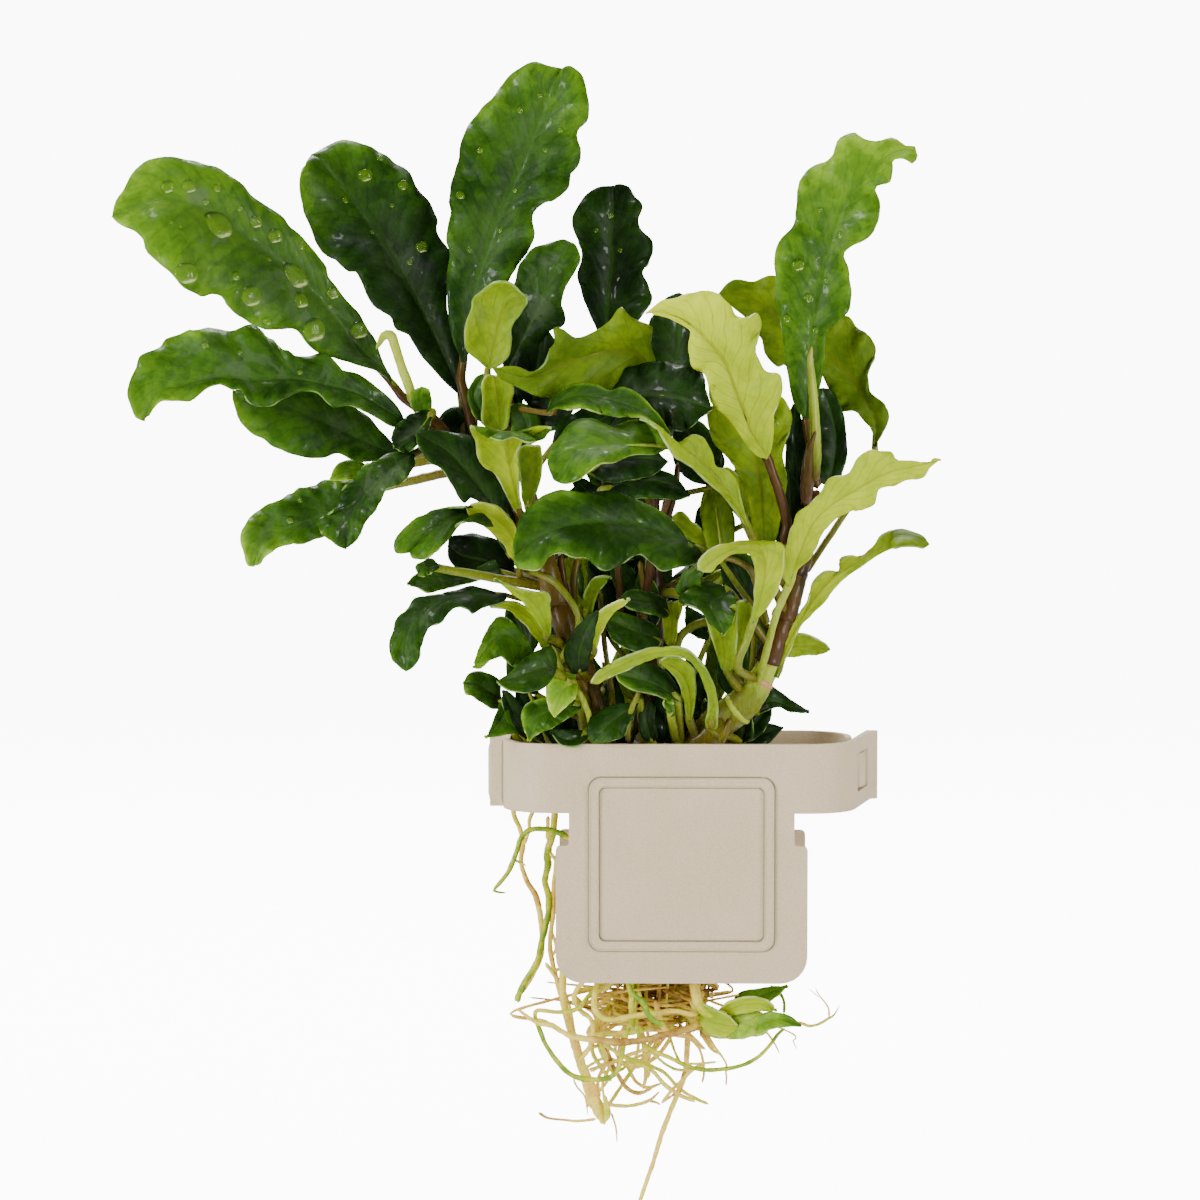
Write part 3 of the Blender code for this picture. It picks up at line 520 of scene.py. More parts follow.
leaf_edge, tree, shader = new_material("leaf_margin")
tone = varied_tone(tree, 500.0, (0.15, 0.0))[1]
rim = ramp(tree, tone, [(0.0, (0.04, 0.085, 0.018)), (0.5, (0.14, 0.25, 0.035)),
                        (1.0, (0.55, 0.6, 0.18))])
feed_all(tree, shader, dict(Base_Color=rim, Roughness=0.4))
print("leaf finishes:", leaf_top.name, leaf_under.name, leaf_edge.name)

# %% Stalks, stems and roots
stalk_skin, tree, shader = new_material("stalk_skin")
spots = placed(tree, blotches, Place=place_of(tree), Size=350.0)
streaks = tree.nodes.new("ShaderNodeMapping")
feed_all(tree, streaks, dict(Vector=place_of(tree), Scale=(1.0, 1.0, 0.12)))
lines = noise_of(tree, streaks.outputs[0], 2600.0, 3.0)
skin = ramp(tree, times(tree, shifted(tree, painted(tree, "tone"), lines, 0.36, -0.18), 0.7),
            [(0.0, (0.012, 0.007, 0.001)), (0.18, (0.060, 0.024, 0.003)), (0.35, (0.095, 0.070, 0.004)),
             (0.53, (0.15, 0.19, 0.010)), (0.7, (0.34, 0.43, 0.03)), (0.84, (0.40, 0.32, 0.03)),
             (1.0, (0.45, 0.21, 0.10))])
skin = mixed(tree, times(tree, spots["Specks"], 0.4), skin, (0.03, 0.015, 0.008))
feed_all(tree, shader, dict(
    Base_Color=skin, Roughness=step_between(tree, spots["Small"], 0.0, 1.0, 0.3, 0.5),
    Specular_IOR_Level=0.15, Coat_Weight=0.12, Coat_Roughness=0.1,
    Normal=bumped(tree, lines, 0.35, 0.0002)))

root_skin, tree, shader = new_material("root_skin")
spots, tone = varied_tone(tree, 220.0, (0.22, -0.11), (0.12, -0.06))
bark = ramp(tree, tone, [(0.0, (0.11, 0.045, 0.008)), (0.22, (0.38, 0.20, 0.030)),
                         (0.45, (0.82, 0.57, 0.085)), (0.62, (0.98, 0.83, 0.13)),
                         (0.8, (0.60, 0.64, 0.004)), (1.0, (0.20, 0.36, 0.006))])
bark = mixed(tree, times(tree, spots["Specks"], 0.5), bark, (0.16, 0.07, 0.025))
relief = bumped(tree, noise_of(tree, place_of(tree), 1400.0, 4.0, 0.65), 0.4, 0.00025)
feed_all(tree, shader, dict(
    Base_Color=bark, Roughness=step_between(tree, spots["Small"], 0.0, 1.0, 0.32, 0.55),
    Specular_IOR_Level=0.45, Normal=relief))
with_light_through(tree, shader, bark, 0.35)

# %% Plastic
plastic, tree, shader = new_material("grey_beige_plastic")
skin = placed(tree, grain, Place=place_of(tree), Size=3600.0)
patches = step_between(tree, skin["Patches"], 0.3, 0.7)
fleck = sum_of(tree, "MULTIPLY_ADD", step_between(tree, skin["Height"], 0.44, 0.56), -0.3, 0.3)
shade = mixed(tree, patches, (0.53, 0.42, 0.262), (0.575, 0.46, 0.292))
feed_all(tree, shader, dict(
    Base_Color=mixed(tree, fleck, shade, (0.30, 0.23, 0.155)), Specular_IOR_Level=0.35,
    Roughness=step_between(tree, skin["Height"], 0.3, 0.7, 0.46, 0.62),
    Normal=bumped(tree, skin["Height"], 0.35, 0.00006)))
print("finishes:", sorted(m.name for m in bpy.data.materials))

# %% [markdown]
# ## The two halves of the holder
#
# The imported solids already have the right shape, but a moulded part never has a perfectly
# sharp edge, and a thin bright line along each edge is what makes plastic look real. A
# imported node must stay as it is, so each half is a copy: its loose triangles are merged,
# flat regions are dissolved into single faces, and a narrow bevel goes along every sharp
# edge. Small moulding marks and the pin that joins the halves come at the end, as pieces
# of their own, so that each stays simple.

# %% Moulded halves
SOFT_EDGE, SHARP = 0.22, math.radians(35)


def rounded_copy(node, name, body):
    """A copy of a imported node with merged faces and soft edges, riding on the body."""
    shape = bmesh.new()
    shape.from_mesh(frame["nodes"][node].data)
    bmesh.ops.remove_doubles(shape, verts=shape.verts, dist=0.000004)
    bmesh.ops.dissolve_limit(shape, angle_limit=math.radians(1.0), verts=shape.verts,
                             edges=shape.edges)
    made = piece(shape, name, [plastic], node, body)
    made.data.set_sharp_from_angle(angle=SHARP)
    step = made.modifiers.new("soft_edges", "BEVEL")
    step.width = SOFT_EDGE * MM
    step.segments = 3
    step.limit_method = "ANGLE"
    step.angle_limit = SHARP
    step.harden_normals = True
    return made


front_half = rounded_copy("holder_front", "front_half", "front")
rounded_copy("holder_back", "rear_half", "back")
print("front half:", len(front_half.data.polygons), "faces before its soft edges")

# %% [markdown]
# ## Tubes
#
# Stalks, stems and roots are all round and bent. A tube is made from one flat grid: its
# rows are laid along a smooth line, and each row is rolled into a ring. The seam is closed
# by merging the doubled points, and both ends are drawn in to a point. The grid also
# carries the painted values that the finishes read.

# %% Rolled tubes
def layers_of(shape):
    """The painted values and the blade map that every plant mesh carries."""
    floats = shape.verts.layers.float
    found = {name: floats.get(name) or floats.new(name) for name in ("tone", "haze", "specks")}
    found["blade"] = shape.loops.layers.uv.get("blade") or shape.loops.layers.uv.new("blade")
    return found


def tube(shape, stations, tones, sides=8, every=1.2, slot=0, rough=0.06, flat=1.0, specks=0.0):
    """A closed tube through stations of x, y, z and radius in millimetres."""
    layers = layers_of(shape)
    route = smooth_route(stations)
    length = sum(math.dist(a[:3], b[:3]) for a, b in zip(route, route[1:]))
    rings = max(5, round(length / every))
    line = spaced(route, rings + 1)
    made = bmesh.ops.create_grid(shape, x_segments=sides, y_segments=rings, size=1.0)["verts"]
    spots, axes, across = [Vector(p[:3]) for p in line], [], None
    for i in range(len(spots)):
        ahead = (spots[min(i + 1, rings)] - spots[max(i - 1, 0)]).normalized()
        if across is None:
            across = ahead.orthogonal()
        across = (across - ahead * across.dot(ahead)).normalized()
        axes.append((across, ahead.cross(across)))
    for vert in made:
        share = (vert.co.y + 1) / 2
        i = round(share * rings)
        angle = vert.co.x * math.pi
        radius = max(0.03, line[i][3])
        outward = axes[i][0] * math.cos(angle) + axes[i][1] * math.sin(angle) * flat
        spot = spots[i] + outward * radius
        lump = noise.noise(spot * 0.7) + 0.6 * noise.noise(spot * 2.1)
        swell = 0.0 if i in (0, rings) else 1 + rough * lump * 2
        spot = spots[i] + outward * radius * swell
        place = share * (len(tones) - 1)
        k = min(int(place), len(tones) - 2)
        vert[layers["tone"]] = tones[k] + (tones[k + 1] - tones[k]) * (place - k)
        vert[layers["specks"]] = specks
        vert.co = spot * MM
    faces = {face for vert in made for face in vert.link_faces}
    for face in faces:
        face.material_index = slot
        face.smooth = True
    bmesh.ops.remove_doubles(shape, verts=made, dist=0.000002)


# Routes of the stems and of the creeping rhizome: x, y, z, radius in millimetres.
STEMS = {
    "rhizome": "-29,2.5,5,2.4 -22.5,0,7,3.2 -13,1,7.5,3.6 -3,2,7.5,3.8 6,1,8.5,3.6 12,3,7.5,3",
    "stem_right": "1.5,-1,10,3 6.5,-3,15.5,3.1 11.5,-4,19.5,3 15,-4,25,2.2 18.5,-4,32.5,1.9 "
                  "21.5,-3,40.5,2.1 24,-2,50,2 24.5,-1,58,1.5",
    "stem_left": "-13,0,9,1.9 -15,-5,17,1.8 -17.5,-7,25.5,1.9 -20.5,-9,33,2.1 -23,-9,40,2 "
                 "-25,-9,47.5,1.8 -27,-9,55.5,1.5 -29.5,-8,65.5,1.3 -32.5,-6,74,1.1",
    "stem_far_left": "-24,-8,43,1.6 -26.5,-5,47,1.6 -30.5,-4,52.5,1.6 -36.5,-3,60,1.5 "
                     "-41.5,-3,65.5,1.5 -45.5,-3,70.5,1.4 -48.5,-3,73.5,1.1",
    "stem_centre": "-6,2,9,1.9 -5.5,4,16,1.8 -5,5,27,1.7 -5,5,39,1.6 -5.5,5,52,1.5 -6.5,4,61,1.4 "
                   "-8,2,68.5,1.1",
    "side_shoot": "-2,-1,-34,2.2 3,-2,-38.5,2.4 7.5,-2,-40.5,2.3 11.5,-2,-40.5,1.7 15.5,-2,-40,1",
}
STEMS = {name: points_of(route) for name, route in STEMS.items()}
print("tubes follow", len(STEMS), "stems")

# %% [markdown]
# ## Leaves
#
# A leaf is a thin blade with a ruffled margin on a short stalk. Its picture was measured as
# three lines from base to tip: the midrib and the two margins. The midrib also has a depth
# at each point. How the blade tilts is given in degrees (0 faces the viewer, 90 the sky and
# 180 away), and the margins lie where the camera's rays meet that tilted surface. A grid is
# laid between the three lines, its halves are bulged and cupped a little, and the ruffles
# are added along the line of sight, so the outline stays as measured while the blade rolls
# in depth. Small notches make the margin a little uneven. Solidify then gives the sheet its
# thickness, with the under side and the rim on material slots of their own. The stalk is a
# tube that runs on below the blade as its midrib.

# %% Leaf maker
def facing(tilt, turn):
    """The direction a blade's measured side faces: 0 front, 90 up, 180 back."""
    tilt, turn = math.radians(tilt), math.radians(turn)
    return Vector((math.sin(turn), -math.cos(tilt) * math.cos(turn), math.sin(tilt) * math.cos(turn)))


def blend_of(values, share):
    place = share * (len(values) - 1)
    k = min(int(place), len(values) - 2)
    return values[k] + (values[k + 1] - values[k]) * (place - k)


def frames_along(points, tilts, turn):
    """The direction ahead and the facing at each point of a midrib."""
    found, last = [], None
    for i in range(len(points)):
        ahead = (points[min(i + 1, len(points) - 1)] - points[max(i - 1, 0)]).normalized()
        up = facing(blend_of(tilts, i / (len(points) - 1)), turn)
        up -= ahead * up.dot(ahead)
        if up.length < 0.3 and last is not None:
            up = last - ahead * last.dot(ahead)
        last = up.normalized()
        found.append((ahead, last))
    return found


def margin_of(outline, points, frames, cup):
    """A margin in space: the outline's rays cut with the blade's own surface."""
    ends = [(*outline[0], 0.0)[:3]] + [(*p, 0.0)[:3] for p in outline[1:-1]] + [(*outline[-1], 0.0)[:3]]
    line = spaced(smooth_route(ends, 6), len(points), 2)
    found = []
    for (px, py, extra), here, (_, up) in zip(line, points, frames):
        sight = ray(px, py).normalized()
        slope = up.dot(sight)
        if abs(slope) < LEAST_SLOPE:
            up = (up + sight * (LEAST_SLOPE - abs(slope)) * (1 if slope >= 0 else -1)).normalized()
            slope = up.dot(sight)
        reach = (here - eye).dot(up) / slope
        flat = (here - eye).dot(sight)
        spot = eye + sight * (flat + max(-REACH, min(REACH, reach - flat)))
        half = (spot - here).length
        found.append(spot + sight * (extra + math.sin(math.radians(cup)) * half
                                     * (1 if slope >= 0 else -1)))
    return found


leaf_count = []
BLADE_THICK, STALK_SLOT = 0.42, 3
LEAF_FINISHES = [leaf_top, leaf_under, leaf_edge, stalk_skin]
# The finer ruffles: how high each is beside the main one, and how many come to one of it.
SECOND_HIGH, SECOND_OFTEN, FINE_HIGH, FINE_OFTEN = 0.3, 2.3, 0.14, 3.3
# In millimetres: how deep notches cut, how far a margin may lie from the midrib in depth,
# and half the width that a blade has at least, along it and at its tip.
NOTCH_DEEP, REACH, LEAST_HALF, LEAST_TIP = 0.45, 9.0, 0.32, 0.12
LEAST_SLOPE, RIB_STEP = 0.45, 6


def solid_blade(blade, name):
    """The blade's sheet with its thickness, as a plain mesh."""
    sheet = object_from(blade, name, LEAF_FINISHES)
    step = sheet.modifiers.new("thickness", "SOLIDIFY")
    step.thickness = BLADE_THICK * MM
    step.offset = 0.0
    step.material_offset = 1
    step.material_offset_rim = 2
    bpy.context.view_layer.update()
    depsgraph = bpy.context.evaluated_depsgraph_get()
    mesh = bpy.data.meshes.new_from_object(sheet.evaluated_get(depsgraph))
    bpy.data.objects.remove(sheet, do_unlink=True)
    return mesh


def leaf(name, stem, share, mid, left, right, tilt=(30, 30), turn=0, cup=10, wave=1.0, ripples=5,
         bulge=0.10, shows="top", judge=(0.0, 1.0), tone=0.3, tip=0.25, rim=0.2, haze=0.3,
         specks=0.0, stalk=None, stalk_wide=0.8, stalk_tones=(0.45, 0.7, 0.85),
         rib=0.75, rows=80, columns=14, node=True, relief=0.3):
    """A leaf measured on the picture as midrib (px, py, depth) and two margins (px, py)."""
    mid, left, right = points_of(mid), points_of(left), points_of(right)
    points = [Vector(p) for p in spaced(smooth_route([in_picture(*m) for m in mid]), rows + 1)]
    frames = frames_along(points, tilt, turn)
    base, end = mid[0][:2], mid[-1][:2]
    edges = [margin_of([base, *line, end], points, frames, cup) for line in (left, right)]
    broad = max((a - b).length for a, b in zip(*edges)) / 2
    length = sum((b - a).length for a, b in zip(points, points[1:]))
    swing = 7.3 * len(leaf_count)
    blade = bmesh.new()
    layers = layers_of(blade)
    bmesh.ops.create_grid(blade, x_segments=columns, y_segments=rows, size=1.0)
    grid = {}
    for vert in blade.verts:
        across, along = vert.co.x, (vert.co.y + 1) / 2
        i = round(along * rows)
        ahead, up = frames[i]
        here, edge, out = points[i], edges[0 if across < 0 else 1][i], abs(across)
        half, least = (edge - here).length, LEAST_HALF if i < rows else LEAST_TIP
        if half < least:
            edge = here + ahead.cross(up) * math.copysign(least, across)
            half = least
        size = min(1.0, half / max(broad, 0.1))
        sight = (here - eye).normalized()
        spot = here.lerp(edge, out) + up * (bulge * half * 4 * out * (1 - out))
        turns = math.tau * ripples * along
        ruffle = math.sin(turns + (1.9 if across > 0 else 0.0) + swing)
        ruffle += SECOND_HIGH * math.sin(turns * SECOND_OFTEN + (0.7 if across > 0 else 2.0))
        ruffle += FINE_HIGH * out ** 2 * math.sin(turns * FINE_OFTEN + 3 * noise.noise(here * 0.2))
        spot += sight * (wave * size * out ** 2.2 * ruffle)
        notch = noise.noise(Vector((along * length * 0.4, across * 3, swing)))
        spot += (edge - here).normalized() * (NOTCH_DEEP * size * out ** 6 * notch)
        lumps = noise.noise(spot * 0.16) * 1.6 + noise.noise(spot * 0.45) * 0.5
        spot += up * (lumps * relief * size * (0.35 + 0.65 * out))
        patch = noise.noise(spot * 0.10 + Vector((swing, 0, 0)))
        vert[layers["tone"]] = (tone + tip * ease((along - 0.45) / 0.55)
                                + rim * ease((out - 0.55) / 0.45) * (0.6 + 0.8 * patch)
                                + 0.10 * patch - 0.10 * ease((0.25 - along) / 0.25))
        # The painted sheen: a band along the middle of the blade, fading towards the margins, base and tip,
        # which the material turns into a grey-green reflection colour.
        painted_sheen_band = ease(1.15 - out * 1.25 + 0.9 * patch) * ease(along * 5) * ease((1.08 - along) * 3)
        vert[layers["haze"]] = haze * painted_sheen_band
        vert[layers["specks"]] = specks * ease((along - 0.6) / 0.4)
        grid[vert] = ((across + 1) / 2, along * length / 10)
        vert.co = spot * MM
    for face in blade.faces:
        for loop in face.loops:
            loop[layers["blade"]].uv = grid[loop.vert]
    blade.normal_update()
    seen = sum(face.normal.dot(face.calc_center_median() / MM - eye) * face.calc_area()
               for face in blade.faces
               if judge[0] <= grid[face.verts[0]][1] * 10 / length <= judge[1])
    if (seen > 0) == (shows == "top"):
        bmesh.ops.reverse_faces(blade, faces=blade.faces)
    mesh = solid_blade(blade, name)
    whole = bmesh.new()
    whole.from_mesh(mesh)
    bpy.data.meshes.remove(mesh)
    behind_top = -1 if shows == "top" else 1
    below = []
    if stem:
        route = spaced(smooth_route(STEMS[stem]), 101)
        start = route[round(share * 100)]
        below.append((*start[:3], stalk_wide * 1.15))
    if stalk:
        below += in_space(stalk)
    for i in range(0, round(rib * rows) + 1, RIB_STEP):
        fade = i / rows
        radius = stalk_wide * (1 - fade) ** 1.5 * 0.85 + 0.10
        spot = points[i] + frames[i][1] * behind_top * (radius * 0.75 + bulge * 0.2)
        below.append((*spot, radius))
    tube(whole, below, stalk_tones, sides=8, every=0.9, slot=STALK_SLOT)
    piece(whole, name, LEAF_FINISHES,
          name if node else None)
    leaf_count.append(name)


def small_leaf(name, stem, share, spot, points_at, long, wide, depths, bend=0.0, tilt=(30, 25),
               **looks):
    """A small leaf from the spot where its blade starts on the picture, the way it points
    (0 up, 90 right), its size in points of the picture and its depths."""
    px, py = spot
    mid, one, other = [], [], []
    for i in range(7):
        t = i / 6
        angle = math.radians(points_at + bend * t)
        mid.append((px, py, depths[0] + (depths[1] - depths[0]) * t))
        half = wide / 2 * math.sin(math.pi * t ** 0.85) ** 0.75 if 0 < i < 6 else 0.0
        if half:
            one.append((px - half * math.cos(angle), py - half * math.sin(angle)))
            other.append((px + half * math.cos(angle), py + half * math.sin(angle)))
        px, py = px + long / 6 * math.sin(angle), py - long / 6 * math.cos(angle)
    settings = dict(node=False, rows=34, columns=8, wave=0.5, ripples=3, cup=10)
    settings.update(looks)
    leaf(name, stem, share, mid, one, other, tilt=tilt, **settings)


print("leaf maker is ready")

# %% [markdown]
# ## The large leaves on the left
#
# The far branch carries the plant's broadest blades. They lean out over the holder's left
# side with their glossy faces turned up and forward. Their outlines wave slowly, with small
# notches where a ruffle turns under, and the tips are paler than the bases.

# %% Upper left leaves
leaf("leaf_far_left", "stem_far_left", 0.96,
     "396,386,-3 383,371,-4 356,343,-5 325,303,-8 283,264,-11 238,230,-14 190,205,-17 150,201,-19 "
     "112,217,-21",
     "384,366 379,353 375,340 365,326 359,314 350,305 341,294 335,286 327,276 326,267 318,257 309,246 "
     "300,236 289,227 285,220 275,211 264,205 252,197 242,184 230,176 215,167 197,162 185,160 167,157 "
     "152,159 141,165 131,176 124,190 116,201",
     "381,374 374,370 360,366 345,361 330,357 317,352 306,342 299,332 289,328 275,330 262,329 249,322 "
     "237,315 227,306 222,297 211,294 203,297 196,294 182,286 170,272 156,261 146,250 143,240 134,231 "
     "120,225",
     tilt=(38, 30), cup=8, wave=0.7, ripples=6, tone=0.40, tip=0.28, rim=0.14, haze=0.7, relief=0.2,
     stalk="404,398,-3,.9", stalk_tones=(0.3, 0.5, 0.7, 0.6), stalk_wide=0.75)

leaf("leaf_left_wavy", "stem_far_left", 0.84,
     "404,421,-8 386,410,-9 360,395,-11 330,386,-13 290,379,-14 250,380,-15 215,378,-17 180,386,-18 "
     "158,392,-19 144,421,-21",
     "399,410 391,400 380,390 368,381 356,374 343,370 336,362 329,356 319,353 309,356 297,357 288,351 "
     "280,348 275,340 266,337 260,329 250,325 237,331 226,332 215,329 207,327 197,331 187,330 176,334 "
     "166,339 161,346 150,352 139,358 136,367 129,382 127,395 131,407 135,417",
     "400,427 391,426 380,420 365,412 350,406 335,407 325,401 316,392 300,392 281,400 270,406 257,406 "
     "247,400 241,390 232,390 222,385 210,387 200,394 190,401 175,401 162,401 155,407 149,416",
     tilt=(34, 24), cup=14, wave=1.2, ripples=7, tone=0.28, tip=0.28, haze=0.35, relief=0.25,
     stalk_tones=(0.25, 0.5, 0.7))

leaf("leaf_upper_left_dark", "stem_far_left", 0.66,
     "461,396,4 447,362,6 428,322,7 404,278,8 382,240,9 360,208,9 340,184,9 322,164,8 311,156,6",
     "450,387 440,377 431,367 422,356 413,342 408,334 396,329 391,317 382,311 374,306 367,295 362,285 "
     "359,275 355,271 348,272 340,264 335,259 328,257 321,250 315,239 310,225 304,210 301,197 300,182 "
     "302,170",
     "463,380 460,362 456,342 450,322 446,302 447,284 451,266 449,252 441,240 436,230 437,220 434,212 "
     "427,200 417,186 411,176 397,165 387,156 377,152 367,145 355,141 342,140 330,145 318,152",
     tilt=(14, 22, 50), cup=12, wave=1.2, bulge=0.16, tone=0.1, tip=0.3, rim=0.16, haze=0.22, relief=0.45,
     stalk_wide=0.7)

leaf("leaf_tall_left", "stem_far_left", 0.5,
     "463,362,-1 466,330,0 474,290,1 488,246,2 505,202,3 524,158,4 542,112,5 553,84,5 562,69,5",
     "453,340 448,308 447,280 450,254 446,239 451,213 449,199 452,180 459,163 462,138 473,120 491,99 "
     "500,88 510,76 523,66 536,62 548,66",
     "474,345 483,324 495,304 508,282 518,265 529,249 535,233 532,216 544,202 557,199 568,187 572,173 "
     "577,167 581,150 577,137 579,129 587,120 589,103 585,85 581,73 570,66",
     tilt=(12, 18, 30), wave=1.3, ripples=7, bulge=0.12, tone=0.28, tip=0.2, rim=0.18, haze=0.5, relief=0.4,
     specks=0.7, stalk="465,396,-2,.95 461,378,-1,.9", stalk_tones=(0.1, 0.3, 0.42, 0.6, 0.7))

leaf("leaf_back_dark", "stem_centre", 0.9,
     "612,400,12 606,340,15 607,300,18 611,262,19 612,225,20 614,186,20",
     "601,345 594,322 585,303 579,285 579,270 582,256 579,243 573,228 575,211 585,197 599,187",
     "622,345 640,318 652,300 648,286 642,272 648,264 653,252 652,241 642,230 638,219 643,206 635,196 "
     "629,187 620,184",
     tilt=(8, 5), cup=8, wave=1.2, tone=0.12, tip=0.03, rim=0.08, haze=0.12)

leaf("leaf_behind_tall", "stem_left", 0.9,
     "505,372,-2 518,350,-2 532,320,-2 546,288,-1 558,262,0 572,243,1",
     "500,350 504,325 510,300 516,280 520,265 530,251 545,244 562,239",
     "530,352 548,332 564,322 562,302 566,286 575,272 580,258 577,247",
     tilt=(16, 8), cup=14, ripples=4, tone=0.2, tip=0.16, rim=0.12, haze=0.6, stalk_wide=0.7)

leaf("leaf_cupped_yellow", "stem_left", 0.92,
     "488,369,-10 492,350,-11 497,330,-12 501,313,-12 510,300,-13 527,296,-15",
     "478,361 467,350 465,336 467,322 472,308 473,298 486,287 499,281 511,283 521,293",
     "494,368 506,360 511,344 511,330 519,315 526,305",
     tilt=(175, 165), cup=-16, wave=0.5, ripples=2, shows="under", tone=0.42, tip=0.0, rim=0.1, rib=0.85,
     stalk="489,380,-10,.7", stalk_wide=0.55)

print("leaves so far:", len(leaf_count))

# %% Lower left leaves
leaf("leaf_left_dark_low", "stem_far_left", 0.72,
     "404,457,-2 380,448,-3 345,432,-3 312,416,-4 278,402,-5 252,394,-6 233,391,-6",
     "395,447 380,430 362,412 340,400 318,392 290,385 262,382 244,385",
     "392,460 375,461 360,462 340,454 325,457 310,458 292,453 275,447 262,440 250,432 241,422 236,410 "
     "233,399",
     tilt=(32, 24), wave=0.6, ripples=4, tone=0.26, tip=0.22)

leaf("leaf_left_lower", "stem_far_left", 0.62,
     "384,486,-2 362,500,-3 339,511,-4 318,518,-4 297,525,-5 276,534,-5 262,545,-6 254,566,-6",
     "372,478 355,478 340,482 330,480 321,481 314,486 305,488 298,488 293,493 288,496 282,500 274,502 "
     "267,505 262,510 257,514 251,519 245,525 241,532 241,545 244,556 248,565",
     "378,500 362,515 348,526 335,533 322,537 312,541 303,544 295,544 284,546 276,549 270,553 264,558 "
     "260,564",
     tilt=(30, 24), cup=12, wave=0.9, ripples=6, tip=0.28, rim=0.25)

leaf("leaf_left_drooping", "stem_far_left", 0.8,
     "414,452,-12 400,462,-15 384,476,-18 368,492,-19 355,510,-20 349,528,-21 346,549,-22",
     "402,452 388,455 374,462 364,466 357,473 352,480 345,487 339,495 338,503 335,509 330,513 325,516 "
     "318,521 320,528 324,535 332,542 340,547",
     "414,463 412,470 408,477 402,482 396,486 388,489 384,493 381,501 377,509 370,517 365,524 362,531 "
     "359,537 353,544",
     tilt=(28, 15), cup=16, wave=0.9, tone=0.2, tip=0.2, haze=0.45)

leaf("leaf_left_dark_glossy", "stem_left", 0.62,
     "514,545,-9 500,518,-10 483,492,-11 463,467,-12 443,448,-12 416,434,-13",
     "502,535 490,512 470,497 463,503 452,485 440,468 428,462 418,446",
     "515,520 509,503 499,478 488,468 477,458 473,438 455,434 435,430",
     tilt=(22, 34), cup=12, wave=0.5, ripples=3, tone=0.13, tip=0.1, rim=0.1, haze=0.55)

leaf("leaf_left_arched", "stem_left", 0.56,
     "512,558,-13 508,538,-17 500,522,-21 484,512,-25 464,514,-27 446,522,-29 428,534,-31 410,552,-32",
     "506,552 498,540 488,528 472,522 458,524 452,534 442,546 429,557 414,560",
     "513,548 509,530 503,516 494,507 482,503 464,507 446,508 430,512 414,520 402,530 394,542 396,553",
     tilt=(30, 34, 30), wave=0.6, ripples=4, tone=0.2, tip=0.22, haze=0.5, stalk_wide=0.5)

leaf("leaf_left_thin", "stem_left", 0.5,
     "500,570,-9 475,576,-9 448,581,-10 425,583,-11 407,584,-12",
     "493,561 477,566 458,575 445,571 425,571 414,576",
     "500,577 487,579 464,584 445,589 428,592 416,588",
     tilt=(34, 34), cup=8, wave=0.5, ripples=3, tone=0.22, tip=0.1, rim=0.15, haze=0.5, stalk_wide=0.35)

leaf("leaf_left_hanging", "stem_left", 0.44,
     "506,594,-17 480,595,-19 455,598,-22 432,607,-24 415,622,-26 406,642,-27 406,671,-28",
     "493,592 474,586 458,590 435,595 416,598 409,608 396,621 390,640 391,657 398,666",
     "504,602 490,605 474,613 466,609 455,608 442,621 429,628 422,644 419,660 412,668",
     tilt=(40, 30, 16), cup=12, wave=0.8, ripples=4, tone=0.08, tip=0.3, rim=0.16, haze=0.4, stalk_wide=0.4)

leaf("leaf_pale_pointed", "stem_left", 0.33,
     "549,640,-14 545,622,-17 535,605,-19 518,592,-21 494,579,-23",
     "545,633 536,621 526,606 510,592 502,585",
     "551,628 550,606 548,593 533,591 517,588 504,582",
     tilt=(172, 160), cup=6, wave=0.4, ripples=3, shows="under", tone=0.5, tip=0.12, rim=0.1)

leaf("leaf_left_yellowgreen", "stem_left", 0.25,
     "533,660,-12 522,645,-13 506,635,-15 493,640,-16 482,655,-17 473,668,-18",
     "530,645 522,634 510,620 497,617 488,630 480,645 476,658",
     "530,664 518,668 508,663 500,658 490,660 483,667 478,669",
     tilt=(34, 28), wave=0.9, ripples=4, tone=0.5, tip=0.2, rim=0.15, haze=0.1)

leaf("leaf_dark_cup", "stem_left", 0.16,
     "556,668,-17 543,668,-20 528,673,-22 512,679,-24 497,682,-26",
     "555,655 550,646 539,650 523,660 510,673 502,678",
     "552,678 542,689 523,693 507,689 500,685",
     tilt=(30, 26), cup=20, wave=0.15, ripples=2, tone=0.26, tip=0.05, rim=0.06, haze=0.9)

leaf("leaf_left_round", "rhizome", 0.06,
     "502,702,-4 492,694,-6 482,688,-7 472,684,-9 463,683,-10",
     "500,695 498,680 486,673 477,671 468,675",
     "503,706 493,709 482,703 474,697 465,693",
     tilt=(32, 24), cup=12, wave=0.2, ripples=2, tone=0.38, rim=0.15, haze=0.2)

leaf("leaf_left_rim", "rhizome", 0.16,
     "505,702,-8 504,714,-9 499,724,-10 485,738,-12",
     "500,702 496,714 492,725 488,733",
     "508,705 511,720 516,733 505,735 494,737",
     tilt=(24, 20), wave=0.3, ripples=2, tone=0.34, tip=0.1, rim=0.12, haze=0.35)

leaf("leaf_yellow_edge", "rhizome", 0.3,
     "580,705,-11 562,708,-12 546,713,-13 535,722,-14 529,741,-15",
     "575,700 560,698 548,698 530,702 522,712 524,728",
     "580,711 566,719 554,727 542,732 534,737",
     tilt=(32, 28), cup=12, wave=0.6, ripples=4, tone=0.34, tip=0.16, rim=0.45, haze=0.2)

leaf("leaf_dark_basal", "rhizome", 0.55,
     "640,700,-11 628,710,-12 614,720,-12 602,731,-13 592,742,-13",
     "634,704 620,704 604,708 592,717 587,730",
     "637,708 631,722 622,737 608,742 598,743",
     cup=12, wave=0.4, ripples=3, tone=0.22, tip=0.05, rim=0.12, haze=0.45)
print("leaves so far:", len(leaf_count))

